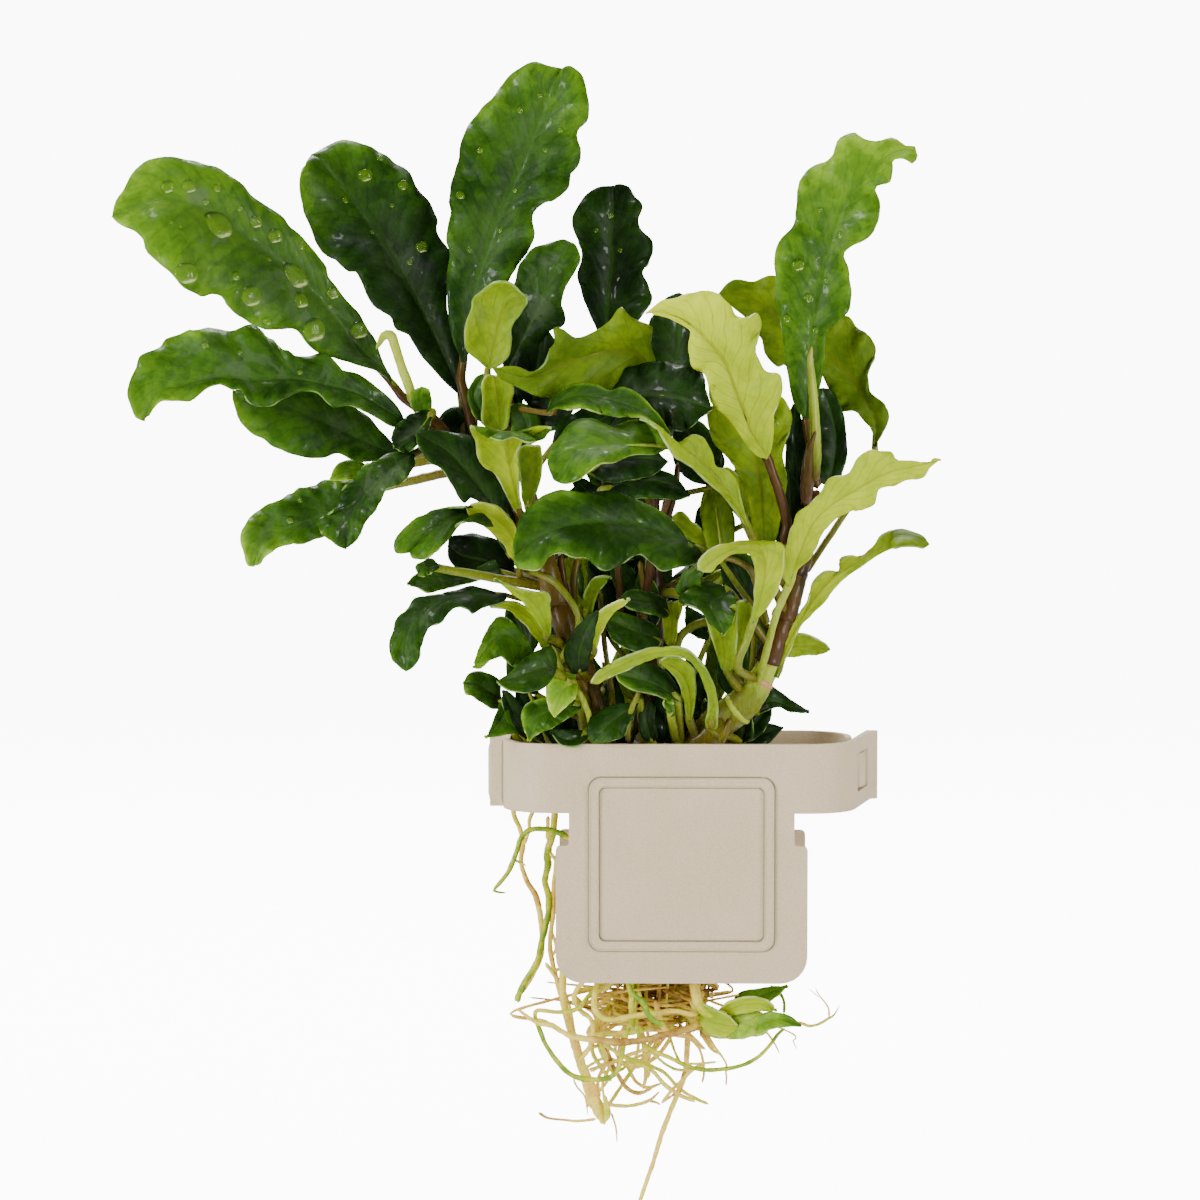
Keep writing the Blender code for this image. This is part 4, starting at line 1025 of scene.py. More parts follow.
# %% [markdown]
# ## The crowded middle
#
# In the middle the leaves overlap, twist and fold, so both of their faces show. A twisted
# blade simply has margins that cross on the picture, with one passing in front of the
# midrib and the other behind it: a third number on a margin's point is how many millimetres
# further back that point lies.

# %% Middle leaves
leaf("leaf_veined_underside", "stem_centre", 0.99,
     "662,392,-4 655,374,-6 640,355,-9 615,350,-11 585,357,-13 560,365,-14 530,377,-16 493,368,-18",
     "655,360 649,341 652,328 642,321 629,315 620,306 610,320 592,333 576,338 563,329 553,327 556,340 "
     "549,350 545,364 532,372 515,366",
     "656,388 640,392 620,388 606,389 589,392 572,394 556,397 541,397 528,392 512,384 499,377",
     tilt=(165, 158), cup=-10, wave=0.8, ripples=4, bulge=-0.1, shows="under", tone=0.27, tip=-0.02,
     rim=0.05, rows=60, columns=18, relief=0.5)

leaf("leaf_dark_textured", "stem_centre", 0.82,
     "606,420,-9 622,404,-13 645,396,-15 668,396,-17 690,402,-18 712,410,-20",
     "606,396 611,380 622,368 645,362 662,362 675,366 690,367 703,374 706,391",
     "618,430 636,424 650,420 660,422 668,428 682,432 692,426 702,417",
     tilt=(36, 30), cup=8, ripples=6, tone=0.09, tip=0.02, rim=0.05, haze=0.25, relief=0.7)

leaf("leaf_dark_edge", "stem_left", 0.99,
     "548,412,-14 560,402,-16 580,396,-19 602,398,-21 625,404,-23 646,414,-24 670,434,-25",
     "552,400 562,391 576,384 596,385 610,391 625,387 638,394 648,403 660,417",
     "558,408 566,410 582,409 602,414 622,417 642,418 656,425",
     tilt=(46, 36), cup=8, wave=0.7, tone=0.27, tip=0.06, rim=0.42, haze=0.4, stalk_tones=(0.4, 0.5, 0.5),
     stalk_wide=0.5)

leaf("leaf_folded_centre", "stem_left", 0.66,
     "521,516,-17 517,500,-19 512,478,-21 508,458,-23 506,442,-26 508,432,-30 513,437,-34",
     "514,510 506,494 495,474 484,467 478,457 476,443 470,426,-1 486,436 500,441",
     "521,508 519,494 519,470 518,451 530,436 551,427,-1 546,437 530,442",
     tilt=(182, 178, 150, 60), cup=-6, wave=0.5, ripples=4, shows="under", judge=(0.0, 0.5), tone=0.62,
     tip=-0.1, rim=0.0, stalk_tones=(0.35, 0.5, 0.9))

leaf("leaf_twisted", "stem_right", 0.56,
     "748,528,-16 738,508,-19 722,486,-22 703,464,-25 680,451,-28 655,447,-30 628,446,-32 600,447,-34 "
     "575,455,-36 554,480,-38",
     "745,514,0 741,500,0 738,484,1 728,470,2 715,466,2 712,452,2 704,437,3 692,435,4 680,444,5 "
     "668,447,5 655,454,3 635,455,0 615,462,-2 599,465,-3 585,474,-3 573,483,-2 562,484,-1",
     "744,524,0 734,510,0 721,494,0 705,480,-1 691,467,-2 675,457,-3 667,444,-4 657,428,0 645,419,3 "
     "628,420,4 615,427,4 602,424,4 592,419,4 579,421,3 567,428,3 553,444,2 547,460,1",
     tilt=(180, 175, 40, 30), cup=0, wave=0.7, ripples=7, shows="under", judge=(0.0, 0.35), tone=0.55,
     tip=-0.08, rim=0.1, haze=0.2, rows=70)

leaf("leaf_front_dark", "stem_centre", 0.6,
     "705,553,-24 690,543,-27 660,532,-30 628,524,-33 595,522,-36 562,527,-38 535,538,-40 515,557,-42",
     "698,547 685,537 672,521 655,508 635,500 618,491 602,490 579,493 562,490 544,495 533,503 520,518 "
     "516,534 513,546",
     "706,556 692,564 680,567 672,569 660,571 648,563 640,555 630,559 614,569 601,571 588,560 575,559 "
     "562,554 552,555 546,560 539,569 530,571 516,567",
     tilt=(44, 30), wave=1.1, ripples=6, tone=0.22, tip=0.16, rim=0.24, haze=0.22, relief=0.4, rows=64,
     columns=16)

leaf("leaf_pale_large", "stem_right", 0.86,
     "767,458,-15.5 762,448,-16 750,430,-16 737,394,-17 725,363,-18 706,339,-19 685,321,-20 662,312,-21 "
     "646,313,-22",
     "756,455 742,438 729,420 711,402 706,376 691,365 689,345 690,331 678,322 662,316",
     "771,450 773,436 774,415 779,402 781,376 766,371 756,352 758,338 761,325 757,313 748,318 735,315 "
     "730,305 718,294 705,291 692,293 675,298 662,300",
     tilt=(172, 168, 160), cup=-14, wave=1.1, ripples=7, bulge=-0.12, shows="under", tone=0.74, tip=0.3,
     rim=0.12, rib=0.9, stalk="786,540,-12,.95 787,524,-13,.95 781,498,-14,.9 773,474,-15,.85",
     stalk_wide=0.95, stalk_tones=(0.2, 0.24, 0.26, 0.3, 0.42, 0.6), columns=18, relief=0.5)

leaf("leaf_pale_rear", "stem_right", 0.8,
     "766,548,-4 763,524,-5 762,498,-6 758,459,-7 755,430,-8 750,407,-9",
     "757,540 752,520 745,488 729,459 712,438 708,412 725,403",
     "775,540 781,515 787,480 783,450 792,420 784,396 766,402",
     tilt=(172, 170), cup=-10, wave=0.9, bulge=-0.1, shows="under", tone=0.38, tip=0.1, rim=0.1, node=False,
     rib=0.95, stalk_wide=1.2, stalk_tones=(0.6, 0.8, 0.9, 0.9))

leaf("leaf_pale_folded", "stem_right", 0.34,
     "753,622,-16 759,603,-18 764,580,-20 765,560,-22 757,548,-25 738,548,-28 718,556,-31 699,570,-34",
     "752,615 754,598 755,576 753,560,1 745,554,2 731,555,2 719,564,1 710,573,0",
     "762,614 773,598 782,579 785,560 783,545,2 762,541,3 745,541,3 720,545,2 705,555,1 699,564,0",
     tilt=(178, 170, 120), cup=0, wave=0.4, ripples=4, shows="under", judge=(0.0, 0.5), tone=0.68, tip=0.0,
     rim=0.05, stalk="738,668,-13,.8 746,642,-14,.75", stalk_tones=(0.5, 0.75, 0.9, 0.95))

print("leaves so far:", len(leaf_count))

# %% [markdown]
# ## The right side
#
# The right stem carries a tall, bright leaf, several leaves that turn their pale under sides
# to the viewer, and a few dark ones behind.

# %% Right leaves
leaf("leaf_tall_right", "stem_right", 1.0,
     "806,418,3 809,378,4 812,338,4 820,290,4 830,245,5 841,212,5 860,183,5 883,160,5 903,150,6 "
     "916,152,6",
     "799,413 792,397 787,371 783,338 778,305 776,285 774,265 776,250 781,239 793,225 797,206 799,182 "
     "804,174 809,169 824,162 830,157 834,152 840,139 854,132 864,139 877,141 893,138 907,147 914,145",
     "812,416 819,392 823,370 825,348 827,330 834,325 848,312 851,296 850,275 844,255 854,245 870,237 "
     "878,222 880,203 876,192 877,186 890,182 893,172 893,161 903,159 913,164 917,157",
     tilt=(20, 26, 34), wave=1.1, ripples=8, tone=0.46, tip=0.28, rim=0.16, haze=0.12, rows=72, relief=0.4,
     stalk_tones=(0.3, 0.5, 0.7))

leaf("leaf_behind_right_pale", "stem_right", 0.8,
     "806,402,9 800,365,11 788,335,12 768,310,13 745,296,13 718,295,13",
     "797,385 786,366 777,366 768,358 761,338 750,322 735,308 724,302",
     "812,370 812,330 800,300 785,283 772,276 755,281 738,279 728,283",
     tilt=(175, 170), cup=-8, wave=0.8, ripples=4, bulge=-0.1, shows="under", tone=0.34, tip=0.05, rim=0.0)

leaf("leaf_right_back", "stem_right", 0.72,
     "875,447,11 875,422,12 867,401,12 857,384,13 841,368,13 826,352,13 812,336,13",
     "872,431 864,421 854,411 840,411 835,398 826,382 816,362 811,345",
     "879,440 887,425 889,414 884,403 870,391 868,372 874,358 874,346 867,335 857,327 847,316 834,318 "
     "820,324",
     tilt=(172, 174), cup=-8, wave=1.2, bulge=-0.08, shows="under", tone=0.26, tip=0.04, rim=0.02,
     stalk="866,482,10,.6 876,466,11,.6", stalk_wide=0.6, stalk_tones=(0.55, 0.7, 0.5))

leaf("leaf_right_dark", "stem_right", 0.92,
     "828,486,7 834,462,9 836,435,10 830,408,11 822,388,11",
     "818,480 812,455 808,430 810,405 816,392",
     "838,482 846,462 846,430 840,404 830,390",
     tilt=(10, 10), cup=8, wave=0.7, ripples=4, tone=0.1, tip=0.05, rim=0.08, haze=0.1)

leaf("leaf_right_pale_long", "stem_right", 0.3,
     "789,586,-12 799,555,-14 814,522,-16 835,502,-17 860,487,-18 885,474,-19 912,466,-20 941,460,-20",
     "783,576 784,556 789,537 797,514 814,500 824,487 832,477 847,474 857,460 866,453 874,450 890,452 "
     "897,460 913,461 927,462 935,458",
     "797,570 811,557 821,537 834,520 850,511 864,510 874,503 880,490 894,485 907,480 923,477 930,467",
     tilt=(172, 165), cup=-8, ripples=6, bulge=-0.1, shows="under", tone=0.76, tip=0.05, rim=0.02, rib=0.85,
     stalk="762,668,-8,.7 768,645,-10,.7 777,612,-11,.7", stalk_tones=(0.8, 0.95, 0.9, 0.8, 0.85))

leaf("leaf_right_long", "stem_right", 0.4,
     "776,676,-5 786,650,-5 799,625,-5 815,598,-6 833,578,-7 852,566,-8 872,553,-9 893,540,-10 "
     "912,538,-10 929,545,-10",
     "778,663 786,637 799,614 808,601 812,582 825,572 841,571,1 839,560,2 850,555,2 863,556,2 873,546,2 "
     "883,534,2 897,530,1 908,532,1 922,536,0",
     "783,663 792,647 799,628 812,615 825,602 834,589 847,576,0 857,570,-2 868,562,-2 882,553,-2 "
     "899,547,-1 916,547,0 924,548,0",
     tilt=(178, 172, 110, 70), cup=0, wave=0.7, ripples=7, shows="under", judge=(0.0, 0.45), tone=0.68,
     tip=-0.3, rim=0.02, stalk_tones=(0.6, 0.8, 0.9))

leaf("leaf_small_right", "stem_right", 0.55,
     "782,648,6 800,646,7 815,646,8 830,650,9",
     "790,636 799,633 812,636 825,644",
     "786,657 802,656 815,655 824,654",
     tilt=(150, 150), cup=-6, wave=0.4, ripples=3, shows="under", tone=0.5, tip=0.0, rim=0.05)

leaf("leaf_low_right_dark", "stem_right", 0.25,
     "757,712,5 770,702,5 782,704,6 795,708,6 809,712,7",
     "762,698 770,686 783,695 799,705",
     "757,716 776,707 790,712 800,713",
     tilt=(30, 25), cup=8, wave=0.3, ripples=2, tone=0.16, tip=0.02, rim=0.08)

leaf("leaf_dark_glossy_basal", "stem_left", 0.24,
     "580,672,-14 579,655,-16 583,640,-18 589,625,-19 598,611,-20",
     "571,672 565,654 571,634 581,621 590,614",
     "588,668 591,650 595,631 598,618",
     tilt=(20, 15), cup=12, wave=0.3, ripples=2, tone=0.1, tip=0.04, rim=0.06, haze=0.35)

leaf("leaf_arched_pale", "stem_right", 0.16,
     "712,728,-11 714,705,-14 709,680,-17 698,661,-19 680,651,-21 660,652,-22 638,658,-23 612,669,-25 "
     "591,683,-27",
     "706,725 709,700 702,680 690,662 672,656 650,660 627,670 608,679 598,684",
     "716,728 718,708 715,688 706,670 692,653 679,646 656,648 637,652 617,660 601,670 594,677",
     tilt=(172, 165, 155), cup=-6, wave=0.3, ripples=3, shows="under", tone=0.5, tip=0.12, rim=0.0)

leaf("leaf_pale_arch_right", "stem_right", 0.04,
     "689,721,-9 690,700,-12 686,682,-14 676,669,-15 660,661,-16",
     "686,715 683,696 675,677 664,667",
     "693,715 696,690 692,668 681,659 668,657",
     tilt=(175, 165), cup=-6, wave=0.3, ripples=2, shows="under", tone=0.48, tip=0.05, rim=0.0)

leaf("leaf_dark_right_centre", "stem_right", 0.44,
     "730,590,-8 720,598,-10 711,604,-12 714,615,-14 724,636,-16",
     "722,586 705,582 692,588 679,601 698,609 711,625",
     "734,594 736,606 734,616 731,625",
     tilt=(46, 24), cup=12, wave=0.6, ripples=3, tone=0.24, tip=0.08, rim=0.1, haze=0.35)

leaf("leaf_shoot", "side_shoot", 0.6,
     "735,1012,-1 750,1002,-1 766,994,-1 788,986,-1",
     "734,1002 738,994 752,989 770,987",
     "745,1012 757,1008 768,1003 778,996",
     tilt=(40, 30), cup=8, wave=0.3, ripples=2, tone=0.5, tip=0.1, rim=0.1)

print("leaves so far:", len(leaf_count))

# %% [markdown]
# ## Small leaves between the large ones
#
# The space between the stems is filled with smaller leaves, too thin and too many for the
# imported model. They are made the same way, and each has its stalk on a stem.

# %% Small leaves
SMALL = dict(node=False, rows=36, columns=10)
leaf("leaf_dark_behind_pale", "stem_centre", 0.97,
     "672,392,2 676,365,2 680,340,2 681,315,2 678,293,2",
     "655,385 650,360 648,335 652,315 666,298",
     "690,388 693,360 692,330 690,308 685,296",
     tilt=(14, 10), wave=0.8, ripples=4, tone=0.12, tip=0.05, rim=0.06, haze=0.5, **SMALL)
leaf("leaf_strip_left", "stem_left", 0.96,
     "500,430,-9 499,412,-10 497,395,-11 494,376,-12",
     "484,424 482,405 482,385 486,375",
     "507,428 510,410 514,392 512,382 503,376",
     tilt=(174, 168), cup=-10, wave=0.4, ripples=2, shows="under", tone=0.4, tip=0.1, **SMALL)
leaf("leaf_by_strip", "stem_left", 0.9,
     "488,424,-5 480,410,-6 474,395,-6 484,374,-6",
     "478,420 470,408 468,390 475,378",
     "490,415 487,400 487,385",
     tilt=(20, 14), cup=8, wave=0.3, ripples=2, tip=0.1, **SMALL)
leaf("leaf_behind_lip", "stem_left", 0.8,
     "524,448,-8 527,435,-9 526,420,-9 514,404,-9",
     "514,440 512,425 508,410",
     "536,440 542,425 536,412 524,404",
     tilt=(24, 20), cup=8, wave=0.4, ripples=3, tone=0.28, tip=0.1, **SMALL)
leaf("leaf_lip_second", "stem_left", 0.64,
     "528,508,-14 529,488,-16 530,465,-18 534,446,-20",
     "522,498 520,475 519,452 525,446",
     "533,500 540,480 542,455 541,447",
     tilt=(165, 150), cup=-8, wave=0.3, ripples=3, shows="under", tone=0.22, tip=0.1, **SMALL)
leaf("leaf_wrinkled_dark", "stem_far_left", 0.9,
     "432,410,-9 426,422,-10 416,432,-11 405,438,-12 394,448,-13",
     "424,410 410,414 398,425 391,438",
     "430,424 422,440 412,450 402,454",
     tilt=(30, 20), cup=16, wave=0.8, ripples=4, tone=0.14, tip=0.05, haze=0.5, relief=1.2, **SMALL)
leaf("bud_leaf_left", "stem_far_left", 0.98,
     "424,412,-8 421,402,-9 420,394,-10 422,387,-11",
     "413,408 411,398 415,390",
     "432,408 431,397 428,389",
     tilt=(20, 10), cup=14, wave=0.3, ripples=2, tone=0.42, tip=0.1, haze=0.1, **SMALL)
leaf("leaf_dark_far_joint", "stem_far_left", 0.85,
     "448,450,-1 455,436,0 464,424,1 474,414,1",
     "440,438 437,424 444,412 458,406",
     "462,446 474,434 478,422",
     tilt=(26, 14), wave=0.5, ripples=3, tone=0.08, tip=0.05, haze=0.2, **SMALL)
leaf("leaf_yellow_below_wavy", "stem_far_left", 0.7,
     "368,470,-3 352,470,-4 340,474,-5 330,480,-6",
     "362,462 348,460 336,465",
     "362,478 350,480 338,482",
     tilt=(30, 24), cup=8, wave=0.3, ripples=2, tone=0.5, tip=0.2, **SMALL)
leaf("leaf_dark_under_arch", "stem_left", 0.52,
     "514,570,-5 498,566,-6 480,560,-7 462,556,-8 448,546,-9",
     "512,552 498,542 480,535 462,534 450,537",
     "512,578 496,579 478,577 460,572 448,560",
     tilt=(34, 28), cup=8, wave=0.4, ripples=3, tone=0.06, tip=0.02, haze=0.15, **SMALL)
leaf("leaf_pale_arc", "stem_left", 0.56,
     "520,562,-17 515,542,-21 504,525,-25 487,512,-29 466,506,-31",
     "511,556 500,541 486,527 470,517",
     "522,546 514,524 500,508 482,502",
     tilt=(176, 165), cup=6, wave=0.3, ripples=3, shows="under", tone=0.68, tip=0.05, **SMALL)
leaf("leaf_curly_bit", "stem_left", 0.5,
     "440,566,-13 430,566,-14 422,568,-15 418,575,-15",
     "432,560 424,560 416,566",
     "434,572 427,574 422,577",
     tilt=(40, 30), cup=20, wave=0.5, ripples=2, tip=0.1, **SMALL)
leaf("leaf_pale_arch_left", "stem_left", 0.28,
     "547,650,-10 541,635,-12 531,619,-14 516,609,-16 503,605,-17 490,607,-18",
     "541,648 534,636 522,623 510,612 500,609",
     "550,645 544,630 534,614 520,604 507,602 497,603",
     tilt=(172, 160), cup=-6, wave=0.3, ripples=2, shows="under", tone=0.5, tip=0.05, **SMALL)
leaf("leaf_small_light_left", "stem_left", 0.22,
     "534,668,-9 524,660,-10 514,652,-11 502,646,-12",
     "528,660 520,648 510,643",
     "526,668 514,664 505,655",
     tilt=(30, 20), cup=8, wave=0.3, ripples=2, tone=0.55, tip=0.1, **SMALL)
leaf("leaf_thin_dark_left", "rhizome", 0.2,
     "527,738,-6 520,725,-7 513,712,-8 507,700,-9 503,690,-9",
     "518,734 507,718 502,702",
     "530,728 526,712 516,698 509,692",
     tilt=(24, 20), cup=12, wave=0.3, ripples=2, tone=0.14, tip=0.05, **SMALL)
leaf("leaf_yellow_low", "rhizome", 0.35,
     "574,682,-14 566,688,-15 560,698,-16 554,717,-17",
     "574,672 560,676 549,680 546,692 548,706",
     "577,690 574,698 568,704 560,712",
     tilt=(32, 26), cup=12, wave=0.5, ripples=3, tone=0.72, tip=0.16, haze=0.0, **SMALL)
leaf("leaf_rolled_cup", "rhizome", 0.42,
     "588,732,-10 578,738,-11 566,740,-12 550,732,-13",
     "582,730 570,729 556,729",
     "586,740 574,746 560,744",
     tilt=(40, 30), cup=26, wave=0.2, ripples=2, tone=0.12, tip=0.05, **SMALL)
leaf("leaf_pale_strip_centre", "stem_left", 0.3,
     "594,654,-13 591,640,-14 594,626,-15 606,611,-16 630,599,-17",
     "590,652 588,636 592,622 603,609 617,601",
     "597,652 600,636 606,624 614,613 624,606",
     tilt=(172, 160), cup=-6, wave=0.2, ripples=2, shows="under", tone=0.66, tip=0.1, **SMALL)
leaf("leaf_pale_strip_upper", "stem_centre", 0.34,
     "588,618,-7 588,604,-8 594,590,-9 611,577,-10",
     "584,612 583,596 590,582 602,576",
     "592,612 595,600 602,588",
     tilt=(172, 160), cup=-6, wave=0.2, ripples=2, shows="under", tone=0.22, tip=0.1, **SMALL)
leaf("leaf_dark_centre", "stem_centre", 0.35,
     "660,640,-6 648,636,-8 634,632,-10 618,624,-12 604,618,-12",
     "656,626 640,618 622,613 610,612",
     "656,648 642,652 626,648 610,634",
     tilt=(38, 40), wave=0.5, ripples=3, tone=0.2, tip=0.06, haze=0.25, **SMALL)
leaf("leaf_dark_centre_upper", "stem_centre", 0.45,
     "668,612,-4 655,604,-6 638,600,-8 618,600,-10",
     "664,600 648,592 630,590",
     "664,618 648,614 630,609",
     tilt=(38, 36), wave=0.5, ripples=3, tone=0.16, tip=0.05, haze=0.25, **SMALL)
leaf("leaf_dark_centre_low", "rhizome", 0.7,
     "680,700,-12 664,690,-14 646,682,-16 630,677,-17 616,675,-18",
     "676,684 662,668 640,663 626,668",
     "678,702 656,696 634,690 620,682",
     tilt=(46, 40), wave=0.4, ripples=3, tone=0.2, tip=0.08, haze=0.25, **SMALL)
leaf("leaf_curled_bit", "rhizome", 0.7,
     "672,716,-11 670,708,-12 666,701,-13 672,699,-14",
     "668,712 664,705 665,700",
     "675,711 674,705",
     tilt=(36, 30), cup=20, wave=0.2, ripples=2, tone=0.4, tip=0.1, **SMALL)
leaf("leaf_grey_tip", "stem_centre", 0.5,
     "692,596,-8 688,586,-10 690,578,-11 700,568,-12",
     "676,592 680,580 686,571",
     "698,592 702,580 704,572",
     tilt=(20, 14), cup=8, wave=0.3, ripples=2, tone=0.32, tip=0.05, haze=0.7, **SMALL)
leaf("leaf_pale_vee", "stem_right", 0.26,
     "727,672,-9 724,655,-10 722,636,-11 720,615,-12",
     "721,668 714,645 708,626 706,612",
     "733,668 737,648 737,625 735,605",
     tilt=(174, 168), cup=-8, wave=0.3, ripples=2, shows="under", tone=0.4, tip=0.05, **SMALL)
leaf("leaf_pale_vee_right", "stem_right", 0.28,
     "733,672,-6 738,650,-7 742,625,-8 746,600,-9",
     "730,655 731,630 735,604",
     "740,660 748,635 752,610",
     tilt=(172, 166), cup=-8, wave=0.3, ripples=2, shows="under", tone=0.34, tip=0.05, **SMALL)
leaf("leaf_pale_middle", "stem_centre", 0.3,
     "672,650,0 672,632,-1 672,616,-2 672,602,-3",
     "665,640 663,620 664,605",
     "676,640 679,620 682,603",
     tilt=(174, 170), cup=-6, wave=0.2, ripples=2, shows="under", tone=0.5, tip=0.05, **SMALL)
leaf("leaf_pale_above", "stem_right", 0.62,
     "748,520,-5 742,505,-5 732,488,-5 720,470,-4",
     "738,515 728,495 718,476",
     "750,512 748,495 738,476 728,467",
     tilt=(172, 168), cup=-6, wave=0.4, ripples=3, shows="under", tone=0.42, tip=0.05, **SMALL)
leaf("leaf_olive_behind", "stem_centre", 0.7,
     "712,548,0 700,540,-2 688,530,-3 672,517,-4",
     "704,534 692,520 680,513",
     "708,552 694,546 680,532",
     tilt=(168, 160), cup=-6, wave=0.5, ripples=3, shows="under", tone=0.4, tip=0.05, **SMALL)
leaf("leaf_dark_behind_front", "stem_centre", 0.72,
     "600,492,-10 622,484,-12 645,480,-14 668,484,-16 690,496,-18",
     "606,482 628,474 650,470 672,474",
     "610,500 632,500 655,498 676,500",
     cup=8, wave=0.5, ripples=4, tone=0.05, tip=0.02, haze=0.1, **SMALL)
leaf("leaf_dark_behind_twist", "stem_centre", 0.8,
     "590,470,-8 612,462,-10 640,458,-12 668,462,-14",
     "600,455 624,447 650,448",
     "604,482 630,480 655,474",
     tilt=(34, 30), cup=8, wave=0.4, ripples=3, tone=0.06, tip=0.02, haze=0.1, **SMALL)
leaf("leaf_dark_by_rim", "stem_right", 0.1,
     "742,742,3 744,732,2 746,722,1 752,716,0",
     "736,736 736,724 742,718",
     "752,738 754,728",
     tilt=(20, 16), wave=0.2, ripples=2, tone=0.14, tip=0.05, **SMALL)
leaf("leaf_dark_low_middle", "rhizome", 0.62,
     "652,742,-7 648,728,-8 645,714,-9 650,700,-10",
     "642,738 638,724 642,708",
     "658,736 656,722 656,708",
     tilt=(18, 14), wave=0.3, ripples=2, tone=0.1, tip=0.05, **SMALL)
leaf("leaf_dark_low_left", "rhizome", 0.45,
     "560,745,-6 552,730,-7 545,716,-8 540,702,-8",
     "550,742 540,726 535,710",
     "568,738 562,722 552,706",
     tilt=(18, 14), wave=0.3, ripples=2, tone=0.1, tip=0.05, **SMALL)
leaf("leaf_behind_spear", "stem_right", 0.78,
     "802,511,2 797,473,3 794,436,4 794,404,5",
     "791,500 786,475 786,440 789,415",
     "808,500 808,470 806,440 800,415",
     tilt=(12, 10), cup=8, wave=0.4, ripples=3, tone=0.1, tip=0.02, haze=0.1, **SMALL)
# Behind these: stem, share, start, way, length, width, depths, tone, shown face.
for k, (stem, share, start, way, long, wide, depths, tone, shows) in enumerate([
        ("rhizome", 0.85, (736, 704), -4, 96, 36, (2, 7), 0.16, "top"),
        ("rhizome", 0.8, (716, 706), 2, 84, 26, (5, 9), 0.3, "under"),
        ("stem_right", 0.2, (752, 694), 6, 92, 30, (3, 8), 0.12, "top"),
        ("rhizome", 0.7, (708, 640), -34, 40, 22, (2, 4), 0.2, "top"),
        ("stem_left", 0.2, (538, 694), -32, 56, 34, (-4, 0), 0.12, "top"),
        ("stem_left", 0.3, (532, 656), -24, 58, 32, (-2, 2), 0.14, "top"),
        ("rhizome", 0.3, (586, 738), -12, 66, 36, (-2, 2), 0.12, "top"),
        ("stem_left", 0.2, (574, 704), -2, 64, 28, (0, 4), 0.3, "under"),
        ("rhizome", 0.4, (600, 738), 14, 62, 34, (0, 5), 0.1, "top"),
        # The next five are leaves low in the holder's mouth whose nearly black colour is painted shade
        # inside the collar.
        ("rhizome", 0.2, (530, 748), -62, 44, 24, (2, 6), 0.03, "top"),
        ("rhizome", 0.3, (548, 748), -70, 50, 26, (6, 9), 0.02, "top"),
        ("rhizome", 0.5, (640, 748), -80, 80, 26, (5, 7), 0.02, "top"),
        ("rhizome", 0.6, (640, 748), 78, 84, 28, (5, 7), 0.02, "top"),
        ("rhizome", 0.8, (720, 746), 74, 66, 26, (4, 7), 0.03, "top"),
        ("rhizome", 0.9, (740, 742), 40, 50, 24, (3, 6), 0.05, "top"),
        ("rhizome", 0.25, (550, 738), -36, 58, 34, (-5, -3), 0.1, "top"),
        ("rhizome", 0.35, (582, 742), -42, 42, 26, (-3, -1), 0.06, "top"),
        ("stem_left", 0.15, (560, 692), -6, 74, 26, (-3, 1), 0.1, "top"),
        ("stem_right", 0.4, (756, 606), -34, 60, 34, (2, 6), 0.1, "top"),
        ("rhizome", 0.7, (664, 748), 2, 60, 28, (-2, 2), 0.08, "top"),
        ("rhizome", 0.75, (690, 748), -3, 66, 28, (-1, 4), 0.1, "top"),
        ("rhizome", 0.75, (698, 712), -8, 62, 20, (2, 5), 0.12, "top"),
        ("stem_centre", 0.2, (640, 690), 10, 84, 34, (6, 10), 0.05, "top"),
        ("stem_centre", 0.3, (612, 640), -14, 70, 32, (6, 10), 0.05, "top"),
        ("stem_centre", 0.4, (640, 600), 24, 70, 34, (8, 12), 0.05, "top"),
        ("stem_centre", 0.5, (676, 606), 40, 70, 32, (8, 12), 0.06, "top"),
        ("stem_left", 0.95, (520, 424), 70, 60, 36, (-6, -8), 0.06, "top"),
        ("stem_left", 0.85, (500, 424), 22, 54, 28, (-3, -2), 0.08, "top"),
        ("stem_left", 0.9, (552, 446), 62, 72, 40, (-16, -14), 0.1, "top"),
        ("stem_centre", 0.9, (712, 486), -24, 78, 50, (-2, 2), 0.07, "top"),
        ("stem_right", 0.6, (724, 566), -8, 92, 34, (-3, 0), 0.3, "under"),
        ("stem_centre", 0.6, (704, 560), 14, 84, 36, (1, 4), 0.08, "top"),
        ("stem_centre", 0.85, (640, 470), -64, 70, 34, (-4, -2), 0.06, "top"),
        ("stem_left", 0.95, (532, 408), 8, 84, 50, (-4, -2), 0.06, "top"),
        ("stem_right", 0.7, (792, 562), -2, 92, 34, (-2, 2), 0.05, "top"),
        ("stem_centre", 0.7, (744, 524), 4, 74, 34, (-1, 3), 0.2, "top")]):
    small_leaf(f"rear_leaf_{k + 1:02d}", stem, max(0.04, share - 0.12), start, way, long, wide, depths,
               tone=tone, tip=0.05, haze=0.1, shows=shows, stalk_wide=0.5)
print("leaves in all:", len(leaf_count))

# %% [markdown]
# ## The dark inside of the plant
#
# Behind the leaves that can be told apart, the plant is full of more of them, in shadow. A
# seeded random generator adds them: it picks a stem and a height, lets a small leaf start
# near there, and keeps it only where it stays within the plant's outline and out of the
# few gaps through which the paper shows.

# %% Shadowed leaves
INSIDE = [(522, 735), (508, 700), (512, 668), (522, 640), (512, 604), (528, 582), (512, 545), (480, 505),
          (466, 470), (486, 440), (486, 400), (520, 372), (560, 350), (600, 345), (640, 340), (690, 345),
          (706, 390), (715, 430), (735, 462), (760, 480), (796, 500), (800, 540), (775, 600), (762, 648),
          (742, 680), (740, 735)]
GAPS = [(596, 623, 609, 655), (674, 618, 702, 660), (660, 465, 696, 502), (682, 523, 706, 548),
        (533, 455, 549, 500), (430, 462, 458, 492)]


